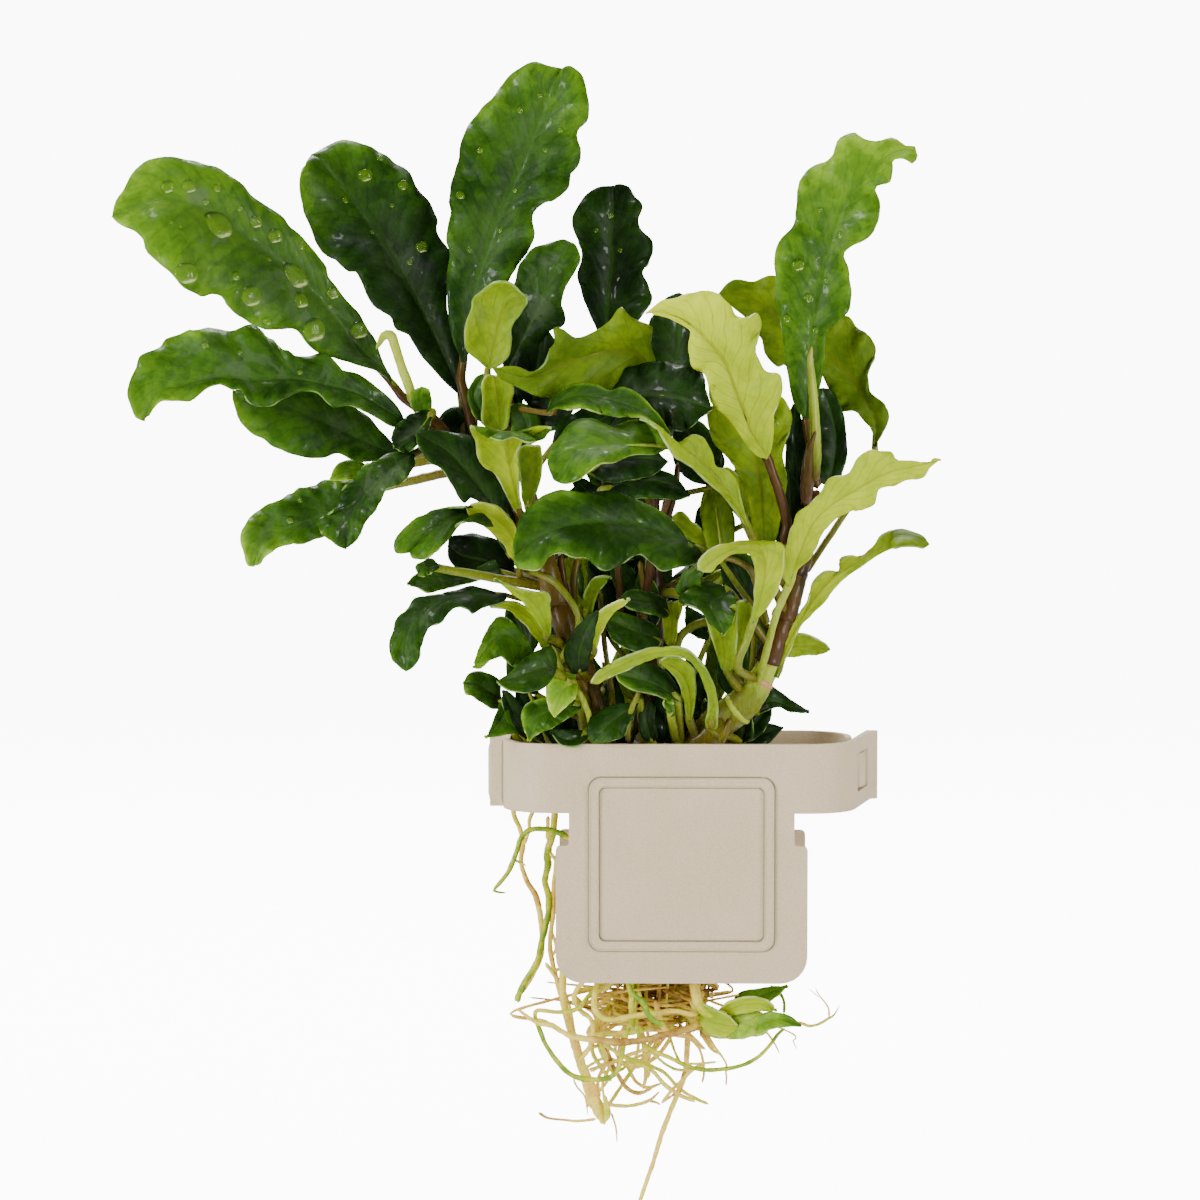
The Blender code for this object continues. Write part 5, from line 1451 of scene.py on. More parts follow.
def within(px, py):
    """Whether a point of the picture lies inside the plant's outline and outside its gaps."""
    odd = False
    for (x0, y0), (x1, y1) in zip(INSIDE, INSIDE[1:] + INSIDE[:1]):
        if (y0 > py) != (y1 > py) and px < x0 + (py - y0) * (x1 - x0) / (y1 - y0):
            odd = not odd
    return odd and not any(a - 4 < px < c + 4 and b - 4 < py < d + 4 for a, b, c, d in GAPS)


def on_picture(spot):
    """Where the camera sees a point given in millimetres."""
    from_eye = spot - eye
    deep = from_eye.dot(-behind)
    step = TAKES_IN / (PICTURE * FROM) * deep
    return PICTURE / 2 + from_eye.dot(rightward) / step, PICTURE / 2 - from_eye.dot(upward) / step


dice = random.Random(5)
WANTED, TRIES = 64, 900
kept = tried = 0
while kept < WANTED and tried < TRIES:
    tried += 1
    stem = dice.choice(["stem_left", "stem_centre", "stem_centre", "stem_right", "rhizome", "rhizome"])
    share = dice.uniform(0.1, 0.95) if stem != "rhizome" else dice.uniform(0.3, 0.95)
    here = Vector(spaced(smooth_route(STEMS[stem]), 101)[round(share * 100)][:3])
    px, py = on_picture(here)
    long, points_at = dice.uniform(48, 92), dice.uniform(-75, 75)
    way = Vector((math.sin(math.radians(points_at)), -math.cos(math.radians(points_at))))
    lift = dice.uniform(8, 34) if stem != "rhizome" else dice.uniform(14, 60)
    start = Vector((px, py)) + way * lift
    wide, bend = long * dice.uniform(0.3, 0.46), dice.uniform(-40, 40)
    deep = dice.uniform(3, 17)
    depths, tilt, turn = (deep, deep + dice.uniform(-3, 5)), dice.uniform(5, 70), dice.uniform(-50, 50)
    tone, pale = dice.uniform(0.05, 0.3), dice.random() < 0.2
    checks = [start + way * long * t + way.orthogonal() * side * wide * 0.5
              for t in (0.0, 0.35, 0.7, 1.0) for side in (-1, 0, 1)]
    if not all(within(*spot) for spot in checks):
        continue
    kept += 1
    small_leaf(f"shadowed_leaf_{kept:02d}", stem, share, tuple(start), points_at, long, wide, depths, bend,
               tilt=(tilt, tilt - 10), turn=turn, tone=tone + 0.25 * pale, tip=0.06, haze=0.15,
               shows="under" if pale else "top", rows=16, columns=6, stalk_wide=0.55)
print("shadowed leaves:", kept, "of", tried, "tries")

# %% [markdown]
# ## Stems
#
# The stems are jointed: every few millimetres an old leaf has left a ring where the stem is
# a little thicker and darker. The right stem is stout and yellowish below, with a pink band
# at one joint, and thin brown sheaths wrap it above. Each stem is one tube, and the rings
# and sheaths are short wider tubes pushed over it, all in one mesh.

# %% Stems with rings
def stem_piece(name, route, tones, rings, sheaths=()):
    """A stem with rings (share, tone) and wrapping sheaths (from, to, wider by, tone)."""
    shape = bmesh.new()
    tube(shape, route, tones, sides=16, every=0.6, rough=0.04, specks=0.6)
    line = spaced(smooth_route(route), 101)
    for share, tone in rings:
        i = round(share * 100)
        here = line[i]
        ahead = (Vector(line[i + 1][:3]) - Vector(line[i - 1][:3])).normalized()
        ring = [(*(Vector(here[:3]) + ahead * d), here[3] * w) for d, w in
                ((-0.9, 0.9), (-0.4, 1.03), (0.0, 1.08), (0.4, 1.02), (0.9, 0.9))]
        tube(shape, ring, (tone, tone + 0.04), sides=16, every=0.25, rough=0.03, specks=1.0)
    for start, end, wider, tone in sheaths:
        part = line[round(start * 100):round(end * 100) + 1:6]
        wrap = [(p[0] - 0.3, p[1] - 0.4, p[2], p[3] * (wider - 0.3 * k / len(part)) + 0.1)
                for k, p in enumerate(part)]
        wrap[-1] = (*wrap[-1][:3], 0.3)
        tube(shape, wrap, (tone, tone + 0.1, tone - 0.05), sides=14, every=0.6, rough=0.06, specks=0.4)
    piece(shape, name, [stalk_skin], name)


def thinner(route, share=0.85):
    """A route whose tube takes up only a share of the solid's thickness."""
    return [(x, y, z, radius * share) for x, y, z, radius in route]


rings = [(0.1 + 0.1 * k, 0.3) for k in range(9)]
stem_piece("rhizome", STEMS["rhizome"], (0.25, 0.4, 0.35), rings)
right_stem = STEMS["stem_right"][:4] + points_of("16.6,-4,29,1.9 18.8,-3.5,35,1.7 21,-3,42,1.6 "
                                                 "23,-2,50,1.5 24.5,-1,58,1.1")
stem_piece("stem_right", right_stem, (0.5, 0.56, 0.72, 1.12, 0.36, 0.28, 0.3, 0.26),
           [(0.12, 0.55), (0.22, 1.0), (0.335, 1.38)],
           [(0.4, 0.72, 1.2, 0.2), (0.55, 0.9, 1.3, 0.26), (0.7, 1.0, 1.2, 0.14)])
stem_piece("stem_left", thinner(STEMS["stem_left"]),
           (0.5, 0.4, 0.3, 0.28, 0.35, 0.4), [(0.1, 0.3), (0.22, 0.3), (0.62, 0.25), (0.8, 0.25)],
           [(0.25, 0.5, 1.3, 0.3), (0.45, 0.68, 1.3, 0.36)])
stem_piece("stem_far_left", STEMS["stem_far_left"], (0.3, 0.25, 0.28, 0.3), [(0.3, 0.2), (0.7, 0.2)],
           [(0.1, 0.45, 1.15, 0.26)])
stem_piece("stem_centre", thinner(STEMS["stem_centre"]),
           (0.35, 0.25, 0.12, 0.15), [(0.2, 0.2), (0.45, 0.12), (0.7, 0.1)], [(0.5, 0.75, 1.25, 0.1)])
print("stems made")

# %% Rolled young leaves
# Each spear is a tube that tapers to its tip, with the brown sheath it came out of.
def spear(name, stations, tones, sheath, sheath_tones):
    shape = bmesh.new()
    tube(shape, in_space(stations), tones, sides=12, every=0.6, rough=0.04, flat=0.8)
    tube(shape, in_space(sheath), sheath_tones, sides=10, every=0.6, rough=0.1, flat=0.7, specks=0.5)
    piece(shape, name, [stalk_skin], name)


spear("spear_right",
      "815,482,-5,.9 816,455,-5.5,1.1 815,425,-6,1.05 813,395,-6,.95 811,372,-6,.8 810,360,-6,.6 "
      "812,346,-6,.15", (0.35, 0.8, 0.9, 0.95, 1.0, 0.9, 1.2),
      "806,506,-4,1.2 808,475,-5.4,1.5 810,450,-6.2,1 816,430,-6.8,.3", (0.2, 0.34, 0.45))
spear("spear_left",
      "416,404,-7,.9 408,384,-8,1 400,362,-9,.9 395,346,-10,.95 391,336,-10.5,1 384,336,-11,.8 "
      "376,350,-12,.2", (0.7, 0.95, 1.0, 1.0, 1.0, 0.95, 0.8),
      "419,412,-6,1.1 412,395,-7,1.2 406,384,-8,.3", (0.6, 0.75, 0.8))
print("spears made")

# %% [markdown]
# ## Stalks of hidden leaves
#
# Many leaf stalks show without their blades: they come up out of the crown and vanish
# behind other leaves. They are tubes of the same kind, in one mesh, and each starts on the
# rhizome or against a stem.

# %% Loose stalks
STALKS = [
    ((0.5, 0.7, 0.72, 0.7), "520,569,-8,.5 550,579,-13,.6 568,597,-14,.6 578,616,-14,.6 577,632,-13,.6 "
     "566,650,-12,.6 556,672,-9,.6"),
    ((0.75, 0.7), "552,645,-16,.4 559,661,-15,.45 565,678,-13,.5 574,706,-10,.5"),
    ((0.85, 0.9, 0.8), "577,688,-14,.4 584,702,-13,.55 590,720,-11,.55 594,742,-8,.5"),
    ((0.35, 0.3), "588,682,-9,.5 596,705,-9,.6 602,740,-7,.7"),
    ((0.3, 0.25), "544,556,-6,.6 552,575,-8,.7 561,598,-9,.7 566,640,-8,.7"),
    ((0.28, 0.3), "560,552,-5,.6 563,578,-6,.65 570,610,-7,.6 574,660,-6,.6"),
    ((0.5, 0.45, 0.3), "578,556,-4,.7 573,585,-5,.7 576,640,-4,.7 584,700,-4,.7"),
    ((0.7, 0.6), "613,688,-6,.5 609,710,-6,.5 606,742,-4,.6"),
    ((0.6, 0.7, 0.5), "640,690,-14,.4 632,708,-13,.5 628,725,-11,.5 628,742,-8,.5"),
    ((0.5, 0.55), "731,716,-10,.6 726,730,-10,.65 720,746,-8,.7"),
    ((0.6, 0.72, 0.6), "672,668,0,.6 678,642,0,.75 687,630,0,.8 706,622,0,.8 728,626,1,.7"),
    ((0.5, 0.6), "718,557,-22,.4 737,561,-20,.55 751,571,-17,.6 758,590,-12,.6 768,625,-7,.6"),
    ((0.2, 0.18, 0.25), "648,462,-6,.8 653,490,-6,.95 655,520,-5,.9 652,560,-3,.8 640,620,0,.8"),
    ((0.1, 0.12), "678,462,-8,.5 675,490,-8,.6 668,520,-6,.6 655,570,-2,.6"),
    ((0.3, 0.34), "673,480,-9,.4 667,500,-9,.7 661,520,-8,.5 652,548,-5,.5"),
    ((0.2, 0.3, 0.2), "602,470,-6,.5 612,520,-4,.6 618,570,-2,.6 622,640,0,.7"),
    ((0.5, 0.4), "640,560,-2,.6 645,600,-1,.6 642,650,0,.6 636,735,2,.7"),
    ((0.6, 0.5, 0.4), "600,590,-3,.5 604,640,-2,.5 611,690,-2,.6 616,740,0,.6"),
    ((0.72, 0.7, 0.6), "656,640,-4,.4 664,680,-3,.6 672,712,-2,.6 678,742,0,.6"),
    ((0.65, 0.7, 0.6), "528,690,-9,.35 538,712,-8,.45 548,742,-6,.5"),
    ((0.3, 0.4), "740,718,2,.4 734,730,2,.45 722,748,2,.5"),
    ((0.7, 0.6, 0.5), "505,512,-12,.45 512,530,-13,.5 518,552,-12,.55 520,580,-10,.6"),
    ((0.6, 0.5), "530,500,-12,.45 528,520,-12,.5 524,548,-11,.6")]
shape = bmesh.new()
for tones, stations in STALKS:
    tube(shape, in_space(stations), tones, sides=10, every=0.8)
piece(shape, "loose_stalks", [stalk_skin])
print("loose stalks:", len(STALKS))

# %% [markdown]
# ## Roots
#
# Bare roots hang from the plant: pale yellow and green ones in the light on the left, and a
# cream and brown tangle below the plates. Each is a tube through points measured on the
# picture, with its depth chosen so that roots cross over one another without meeting. Its
# tone runs from 0, old brown bark, over cream to 1, green. Every root starts inside the
# holder, in the matted crown or on another root, so none hangs in the air.

# %% Root tables
# Name: tones along the root, then px, py, depth and radius in millimetres.
ROOTS = {
    "root_outer_left": (
        (0.62, 0.66, 0.4, 0.66, 0.62),
        "520,775,2,.5 513,800,3,.5 514,815,3,.5 520,829,4,.45 523,844,4,.5 521,861,4,.45 527,881,4,.5 "
        "536,897,4,.65 540,914,4,.55 542,936,4,.5 541,956,4,.5 532,976,4,.45 521,994,4,.35"),
    "root_green_left": (
        (0.8, 0.86, 0.95, 0.92, 1.0, 0.95),
        "575,800,-2,.45 574,838,-3,.5 560,833,-3,.55 545,829,-3,.5 530,830,-3,.5 521,838,-3,.5 "
        "517,850,-3,.5 512,864,-3,.5 507,874,-3,.45 499,884,-3,.4 494,890,-3,.35 498,892,-3,.25 "
        "507,893,-3,.15"),
    "root_inner_left": (
        (0.6, 0.62, 0.8, 0.85, 0.92, 0.85, 0.9),
        "560,770,1,.6 556,800,1,.6 553,832,1,.65 548,850,1,.75 548,866,1,.7 545,881,1,.6 549,898,1,.65 "
        "548,915,0,.6 543,936,0,.6 537,962,0,.6 525,982,0,.6 518,998,0,.65 519,1003,0,.5"),
    "root_thick_left": (
        (0.6, 0.55, 0.62, 0.6, 0.62, 0.58, 0.52),
        "590,775,-4,.7 578,820,-6,.7 571,880,-6,.7 566,940,-5,.7 563,980,-4,.7 564,1004,-4,.7 "
        "569,1024,-4,.75 575,1043,-4,.85 580,1060,-4,.9 586,1077,-4,1.05 592,1094,-4,1.3 "
        "599,1111,-4,1.15 605,1125,-4,.5"),
    "root_loop": (
        (0.7, 0.78, 0.82, 0.86, 0.88, 0.84, 0.8, 0.7),
        "622,965,-5,.5 610,985,-6,.5 590,995,-7,.45 577,1009,-8,.45 556,1012,-8,.4 538,1010,-8,.4 "
        "535,1016,-8,.42 539,1028,-8,.45 545,1043,-8,.45 556,1060,-8,.48 570,1074,-8,.5 585,1079,-8,.5 "
        "602,1079,-8,.5 614,1075,-8,.48 620,1065,-8,.45 623,1050,-8,.45 626,1036,-8,.45 631,1021,-8,.5 "
        "631,1002,-7,.5 632,975,-5,.5"),
    "root_long_arc": (
        (0.8, 0.8, 0.85, 0.86, 0.82, 0.85, 0.9),
        "640,975,-4,.45 634,1004,-6,.45 637,1029,-8,.42 644,1044,-8.5,.42 656,1052,-9,.42 "
        "673,1059,-9,.42 687,1066,-9,.42 704,1070,-9,.42 724,1069,-9,.4 743,1065,-9,.4 758,1057,-8,.38 "
        "770,1045,-7,.35 778,1034,-6,.33 785,1028,-4,.3"),
    "root_straight": (
        (0.45, 0.55, 0.62, 0.6, 0.55, 0.58),
        "690,985,3,.6 688,1030,3,.6 687,1051,3,.55 685,1073,3,.55 677,1095,3,.55 668,1117,3,.5 "
        "660,1139,3,.5 653,1163,3,.45 646,1183,3,.42 640,1202,3,.4 636,1222,3,.25"),
}
# Finer roots that only the dressed model has, in groups: tones and stations.
FINE_ROOTS = {
    "fine_roots_left": [
        ((0.85, 0.7), "514,860,-3,.3 519,862,-3,.25 527,866,-3,.15"),
        ((0.65, 0.6), "548,850,1,.35 555,860,0,.3 560,873,0,.15"),
        ((0.6, 0.5, 0.6), "558,850,5,.5 554,890,5,.5 553,915,5,.45 550,945,5,.45 553,965,5,.5 "
         "561,998,4,.4"),
        ((0.6, 0.55), "540,800,3,.4 530,818,3,.4 529,830,3,.35 524,846,3.5,.3"),
        ((0.66, 0.6), "548,815,2,.4 548,835,2,.45 552,846,2,.4"),
        ((0.55, 0.5), "551,930,5,.3 556,948,5,.3 549,960,5,.15")],
    "roots_below_left": [
        ((0.35, 0.6, 0.62, 0.5), "516,1008,-9,.12 524,1014,-9,.35 538,1023,-9,.45 551,1025,-9.5,.5 "
         "561,1031,-9.5,.5 573,1037,-10,.55 585,1038,-10,.5"),
        ((0.55, 0.35, 0.3, 0.38, 0.5), "574,1037,-10,.6 597,1040,-10.5,.65 617,1042,-11,.7 "
         "638,1041,-11,.65 660,1036,-11,.65 682,1031,-10,.6 698,1022,-6,.6 704,1005,-2,.6")],
    "roots_below": [
        ((0.62, 0.66, 0.6), "598,975,-6,.5 594,1004,-9,.5 600,1016,-9.5,.5 612,1020,-10,.5 "
         "631,1016,-10,.5 656,1013,-10,.5 675,1011,-10,.5 696,1013,-7,.5 702,990,-4,.6"),
        ((0.8, 0.9, 0.92, 0.85), "628,970,-9,.5 630,990,-10,.55 637,997,-11,.5 644,1002,-12,.5 "
         "648,1014,-12.5,.5 656,1022,-12.5,.55 666,1024,-12,.55"),
        ((0.68, 0.7, 0.74, 0.8), "694,970,-4,.9 695,988,-6,.95 697,1000,-7,.95 704,1011,-8,.95 "
         "717,1015,-8,.9 731,1013,-7,.8 744,1008,-4,.7"),
        ((0.3, 0.28, 0.45), "600,1035,0,.4 604,1048,0,.42 617,1073,0,.42 626,1087,0,.45 638,1093,0,.4 "
         "653,1088,0,.25"),
        ((0.55, 0.6, 0.5), "587,1070,-2,.3 607,1065,-1.5,.35 626,1056,-1,.4 646,1048,0,.4 "
         "662,1030,1,.4"),
        ((0.6, 0.66, 0.62, 0.5), "596,1038,-6,.4 607,1046,-6,.42 626,1058,-6,.42 651,1070,-6,.42 "
         "665,1085,-5,.42 682,1096,-5,.42 696,1102,-5,.35"),
        ((0.5, 0.66, 0.6), "642,1030,4,.4 644,1051,4,.42 646,1073,4,.42 643,1090,4,.3"),
        ((0.5, 0.68, 0.7, 0.6), "664,1030,6,.35 651,1051,6,.38 636,1065,5,.36 622,1085,3,.36 "
         "612,1100,0,.36 606,1108,-3,.4"),
        ((0.7, 0.62, 0.55), "605,1104,-4.5,.4 627,1106,-3,.36 648,1101,-2,.33 660,1091,-1,.22"),
        ((0.6, 0.5), "648,1101,-2,.28 655,1102,-1,.25 661,1105,0,.18"),
        ((0.45, 0.3), "661,1104,0,.15 676,1092,1,.3 682,1080,2,.35 686,1066,3,.3"),
        ((0.35, 0.5, 0.6), "538,1112,-5,.35 548,1118,-5,.25 565,1120,-5,.26 578,1121,-5,.3 "
         "597,1119,-4.5,.3"),
        ((0.6, 0.5), "611,1112,-3,.25 616,1128,-3,.2 617,1144,-3,.1"),
        ((0.78, 0.72), "604,1094,-5,.35 607,1107,-5.4,.6 607,1117,-5.2,.55 604,1122,-4.8,.2"),
        ((0.6, 0.66), "573,1078,-4,.2 577,1087,-4,.2 585,1097,-4,.2 588,1116,-4,.1"),
        ((0.5, 0.68, 0.6), "690,1038,6,.3 700,1050,7,.28 704,1070,7,.25 702,1084,7,.2"),
        ((0.5, 0.6), "700,1030,3,.35 707,1043,3,.32 714,1051,3,.3 722,1055,3,.15"),
        ((0.66, 0.72, 0.6), "644,1045,1,.3 664,1063,1,.3 680,1070,1,.3 705,1068,2,.25"),
        ((0.55, 0.4), "762,1030,-2,.25 768,1034,-2,.22 776,1046,-2,.2 780,1055,-2,.08"),
        ((0.62, 0.6, 0.55), "545,962,-2,.4 558,981,-2,.42 562,1000,-2,.4 568,1020,-2.5,.38 "
         "572,1046,-3,.3"),
        ((0.5, 0.64, 0.6), "585,978,-7,.45 574,996,-7,.48 580,1010,-7,.48 590,1018,-7,.45 "
         "593,1030,-7,.42 588,1050,-6,.4 578,1062,-5,.35"),
        ((0.55, 0.66, 0.62), "612,1010,-2,.4 602,1022,-2,.42 600,1040,-2,.4 606,1060,-1,.4 "
         "598,1080,-1.5,.35 600,1098,-2.5,.3"),
        ((0.6, 0.68, 0.6), "672,1036,8,.4 656,1057,8,.4 634,1067,8,.4 612,1061,8,.38 590,1072,7,.35"),
        ((0.35, 0.4, 0.5), "655,1000,-6,.45 661,1022,-7,.5 672,1034,-7,.5 692,1038,-6,.42 "
         "705,1050,-5,.3"),
        ((0.66, 0.6, 0.64), "661,1104,-3,.3 672,1090,-3,.32 684,1078,-3,.34 695,1068,-2,.34 "
         "706,1065,-1,.3"),
        ((0.3, 0.45, 0.5), "690,1016,2,.4 703,1030,2,.42 711,1042,2,.4 721,1055,2,.2"),
        ((0.6, 0.7, 0.6), "618,1004,5,.45 606,1018,5,.45 596,1030,4,.42 592,1050,3,.42 600,1066,2,.4 "
         "612,1082,1,.35"),
        ((0.7, 0.78, 0.7), "648,1008,0,.45 634,1024,0,.45 622,1034,0,.45 608,1042,0,.42 "
         "590,1048,-1,.38")],
    "side_shoot_roots": [
        ((0.7, 0.75, 0.7), "786,1024,-2,.45 800,1023,-3,.35 809,1026,-3,.3 819,1024,-3,.28 "
         "829,1018,-3,.26 834,1015,-3,.2 841,1003,-3,.05"),
        ((0.75, 0.7), "829,1018,-3,.24 828,1007,-3,.2 819,995,-3,.16 815,987,-3,.06"),
        ((0.72, 0.66), "820,998,-3,.14 814,993,-3,.1 808,988,-3,.05"),
        ((0.95, 1.0), "770,985,4,.3 779,992,4,.3 784,1002,3,.28 784,1014,1,.3")],
}


for name, (tones, stations) in ROOTS.items():
    shape = bmesh.new()
    tube(shape, in_space(stations), tones, sides=10, every=0.6, rough=0.10, specks=0.5)
    piece(shape, name, [root_skin], name)
for group, roots in FINE_ROOTS.items():
    shape = bmesh.new()
    for tones, stations in roots:
        tube(shape, in_space(stations), tones, sides=8, every=0.6, rough=0.12, specks=0.6)
    piece(shape, group, [root_skin])
# The tangle is several roots deep: behind most of these another one takes a similar way.
dice = random.Random(3)
LOWEST_START, LEAN_FROM, CROWN_END = 1075, 1000, (640, 980)
rear = bmesh.new()
for tones, stations in FINE_ROOTS["roots_below_left"] + FINE_ROOTS["roots_below"]:
    stations = points_of(stations)
    if len(stations) > 3 and stations[0][1] < LOWEST_START:
        dx, dy, deep = dice.uniform(-16, 16), dice.uniform(-12, 3), dice.uniform(3, 7)
        lean = dice.uniform(-0.14, 0.14)
        route = [(px + dx + lean * (py - LEAN_FROM), py + dy, depth + deep, radius * 0.85)
                 for px, py, depth, radius in stations]
        route[0] = (CROWN_END[0] + dx, CROWN_END[1], 2, 0.3)
        tube(rear, in_space(route), [dice.uniform(0.45, 0.85) for _ in range(4)], sides=8, every=0.7,
             rough=0.12, specks=0.8)
piece(rear, "roots_rear", [root_skin])
fine = sum(len(roots) for roots in FINE_ROOTS.values())
print("roots:", len(ROOTS), "with a solid of their own and", fine, "fine ones")

# %% [markdown]
# ## The matted crown
#
# Between the plates the roots are matted into a brown crown. It is not a solid lump but
# many strands that wander down through the holder, and its lower end hangs out as loops
# and short ends. A seeded random generator lays the strands, so each run gives the same
# crown.

# %% Crown strands
dice = random.Random(11)
mat = bmesh.new()
STRANDS, STEPS, LOOSE_ENDS = 150, 7, 46
for k in range(STRANDS):
    angle, wide = dice.uniform(0, math.tau), math.sqrt(dice.random())
    x = -2.5 + 15.5 * wide * math.cos(angle)
    y = 6.8 * wide * math.sin(angle)
    z = dice.uniform(-3, 4)
    stations, drift = [], Vector((dice.uniform(-1.5, 1.5), dice.uniform(-1, 1), 0))
    end = dice.uniform(-44, -32) if k % 3 else dice.uniform(-36, -28)
    for i in range(STEPS + 1):
        t = i / STEPS
        pull = 1 - 0.48 * ease(t)
        stations.append((-4.5 + (x + 4.5) * pull + drift.x * math.sin(5 * t + k),
                         y * pull + drift.y * math.cos(4 * t + k), z + (end - z) * t,
                         dice.uniform(0.28, 0.6) * (1 - 0.6 * t * t)))
    tube(mat, stations, [dice.uniform(0.12, 0.6) for _ in range(3)], sides=6, every=1.6, rough=0.15,
         specks=1.0)
for k in range(LOOSE_ENDS):
    angle = dice.uniform(0, math.tau)
    x, y = -5 + dice.uniform(4, 11) * math.cos(angle), 5 * math.sin(angle)
    z = dice.uniform(-39, -31)
    bend = dice.uniform(0.6, 1.6)
    stations = [(x + 4 * i * math.cos(angle + bend * i), y + 1.2 * i * math.sin(angle + bend * i) * 0.8,
                 z - 2.4 * math.sin(i * 0.9), 0.42 - 0.06 * i) for i in range(5)]
    tube(mat, stations, [dice.uniform(0.15, 0.66) for _ in range(3)], sides=6, every=0.9, rough=0.15,
         specks=1.0)
crown = piece(mat, "root_crown_strands", [root_skin], "root_crown")
print("crown:", len(crown.data.polygons), "faces")

# %% [markdown]
# ## The side shoot
#
# A young shoot has pushed out of the crown on the right: a swollen yellow-green bud with a
# few leaves still half folded. Its body is a short stout tube with overlapping scales.

# %% Side shoot
shoot = bmesh.new()
tube(shoot, thinner(STEMS["side_shoot"]), (0.7, 0.76, 0.84, 0.95), sides=16, every=0.6, rough=0.08)
for tones, stations in [
        ((0.72, 0.76, 0.82),
         "694,1004,-3,.9 702,1016,-5,1.5 716,1022,-6,1.6 734,1022,-6,1.1 748,1020,-5,.4"),
        ((0.74, 0.8, 0.86),
         "700,1026,-4,.8 714,1031,-5,1.3 730,1033,-5,1.2 748,1034,-4,.7 758,1034,-4,.3"),
        ((0.64, 0.7, 0.74),
         "690,990,-3,.8 694,1003,-4,1 702,1012,-5,1.1 714,1016,-5,.8")]:
    tube(shoot, in_space(stations), tones, sides=14, every=0.6, rough=0.10, flat=0.7)
made = piece(shoot, "side_shoot_body", [root_skin], "side_shoot")
SHOOT = dict(node=False, rows=26, columns=10, stalk_wide=0.3, stalk_tones=(0.9, 0.9))
leaf("shoot_leaf_front", "side_shoot", 0.75,
     "722,1030,-6 736,1024,-8 750,1020,-9 764,1022,-9 768,1030,-8",
     "728,1018 740,1010 754,1010 766,1016",
     "726,1037 742,1038 756,1036 764,1034",
     tilt=(30, 24), cup=14, wave=0.3, ripples=3, tone=0.84, tip=0.1, rim=0.1, haze=0.0, **SHOOT)
leaf("shoot_leaf_right", "side_shoot", 0.85,
     "744,1034,-8 758,1026,-10 772,1020,-11 786,1020,-11 801,1026,-10",
     "750,1022 763,1013 778,1012 792,1017",
     "754,1036 768,1031 782,1027 794,1027",
     tilt=(34, 26), cup=16, wave=0.3, ripples=3, tone=0.8, tip=-0.25, rim=0.1, haze=0.0, **SHOOT)
leaf("shoot_leaf_pale", "side_shoot", 0.6,
     "716,1014,-7 734,1007,-9 750,1003,-10 764,1004,-10 777,1011,-9",
     "726,1003 742,997 758,997 770,1002",
     "726,1015 742,1013 758,1011 768,1011",
     tilt=(172, 160), cup=-8, wave=0.3, ripples=3, shows="under", tone=0.66, tip=0.1, **SHOOT)
leaf("shoot_scale", "side_shoot", 0.4,
     "698,1014,-6 708,1020,-8 722,1024,-9 738,1026,-9",
     "702,1004 714,1008 728,1015",
     "704,1028 716,1036 730,1035",
     tilt=(172, 160), cup=-14, wave=0.2, ripples=2, shows="under", tone=0.62, tip=0.1, **SHOOT)
print("side shoot:", len(made.data.polygons), "faces and four leaves")

# %% [markdown]
# ## Moulding marks on the holder
#
# Small marks tell that the holder came out of a mould: a fine bead along both edges of the
# raised border with a painted shadow line beside it, the pin in the hinge, the catch that
# fills the arm's window when the halves are shut, and small dots where the part was pushed
# out of the mould. A dark line of painted shade marks the corner next to the hinge. The
# space inside the border is bare.

# %% Beads, painted shadow lines, pin, catch and dots
# A dark plastic for the painted shadow lines beside the beads and the painted shade in the corner by the
# hinge.
plastic_dark, tree, shader = new_material("plastic_in_shade")
feed_all(tree, shader, dict(Base_Color=(0.27, 0.215, 0.135, 1.0), Roughness=0.6))
# In millimetres: where the plate and its border face forward, and the hinge's place.
PLATE_FACE, BORDER_FACE, HINGE_X, BEAD = -12.0, -12.4, -35.0, 0.13


def rounded_line(half, low, top, corner, y):
    """Stations along a rounded square on the front face, all round, in millimetres."""
    line = []
    for cx, cz, start in ((half - corner, top - corner, 90), (half - corner, low + corner, 0),
                          (corner - half, low + corner, -90), (corner - half, top - corner, 180)):
        for i in range(7):
            angle = math.radians(start - 15 * i)
            line.append((cx + corner * math.cos(angle), y, cz + corner * math.sin(angle)))
    even = []
    for a, b in zip(line, line[1:] + line[:1]):
        parts = max(1, round(math.dist(a, b) / 0.8))
        even += [tuple(p + (q - p) * k / parts for p, q in zip(a, b)) for k in range(parts)]
    return even + even[:1]


def plain_tube(shape, stations, sides=8, every=0.35):
    tube(shape, stations, (0, 0), sides=sides, every=every, rough=0.0)


beads, shades = bmesh.new(), bmesh.new()
for half, low, top, corner, out in ((16.7, -25.0, 6.5, 2.2, 1), (15.0, -23.3, 4.8, 1.2, -1)):
    for shape, by, face in ((beads, -0.1 * out, BORDER_FACE), (shades, BEAD * out, PLATE_FACE)):
        line = rounded_line(half + by, low - by, top + by, corner, face)
        plain_tube(shape, [(*p, BEAD) for p in line])
# A dark line of painted shade in the corner beside the hinge flange.
plain_tube(shades, [(-32.72, -1.75, 0.3, 0.28), (-32.72, -1.75, 12.3, 0.28)], every=1.0)
for px, py in ((569, 939), (609, 977)):
    dot = Matrix.Translation(in_picture(px, py, PLATE_FACE) * MM) @ Matrix.Diagonal((1, 0.6, 1, 1))
    bmesh.ops.create_icosphere(beads, subdivisions=2, radius=0.32 * MM, matrix=dot)
piece(beads, "border_beads", [plastic], body="front")
piece(shades, "border_shadow_lines", [plastic_dark], body="front")
pin = bmesh.new()
plain_tube(pin, [(HINGE_X, 0, 0.2, 0.5), (HINGE_X, 0, 12.4, 0.5)], sides=12, every=2.0)
piece(pin, "hinge_pin", [plastic])
catch = bmesh.new()
bmesh.ops.create_cube(catch, size=1.0)
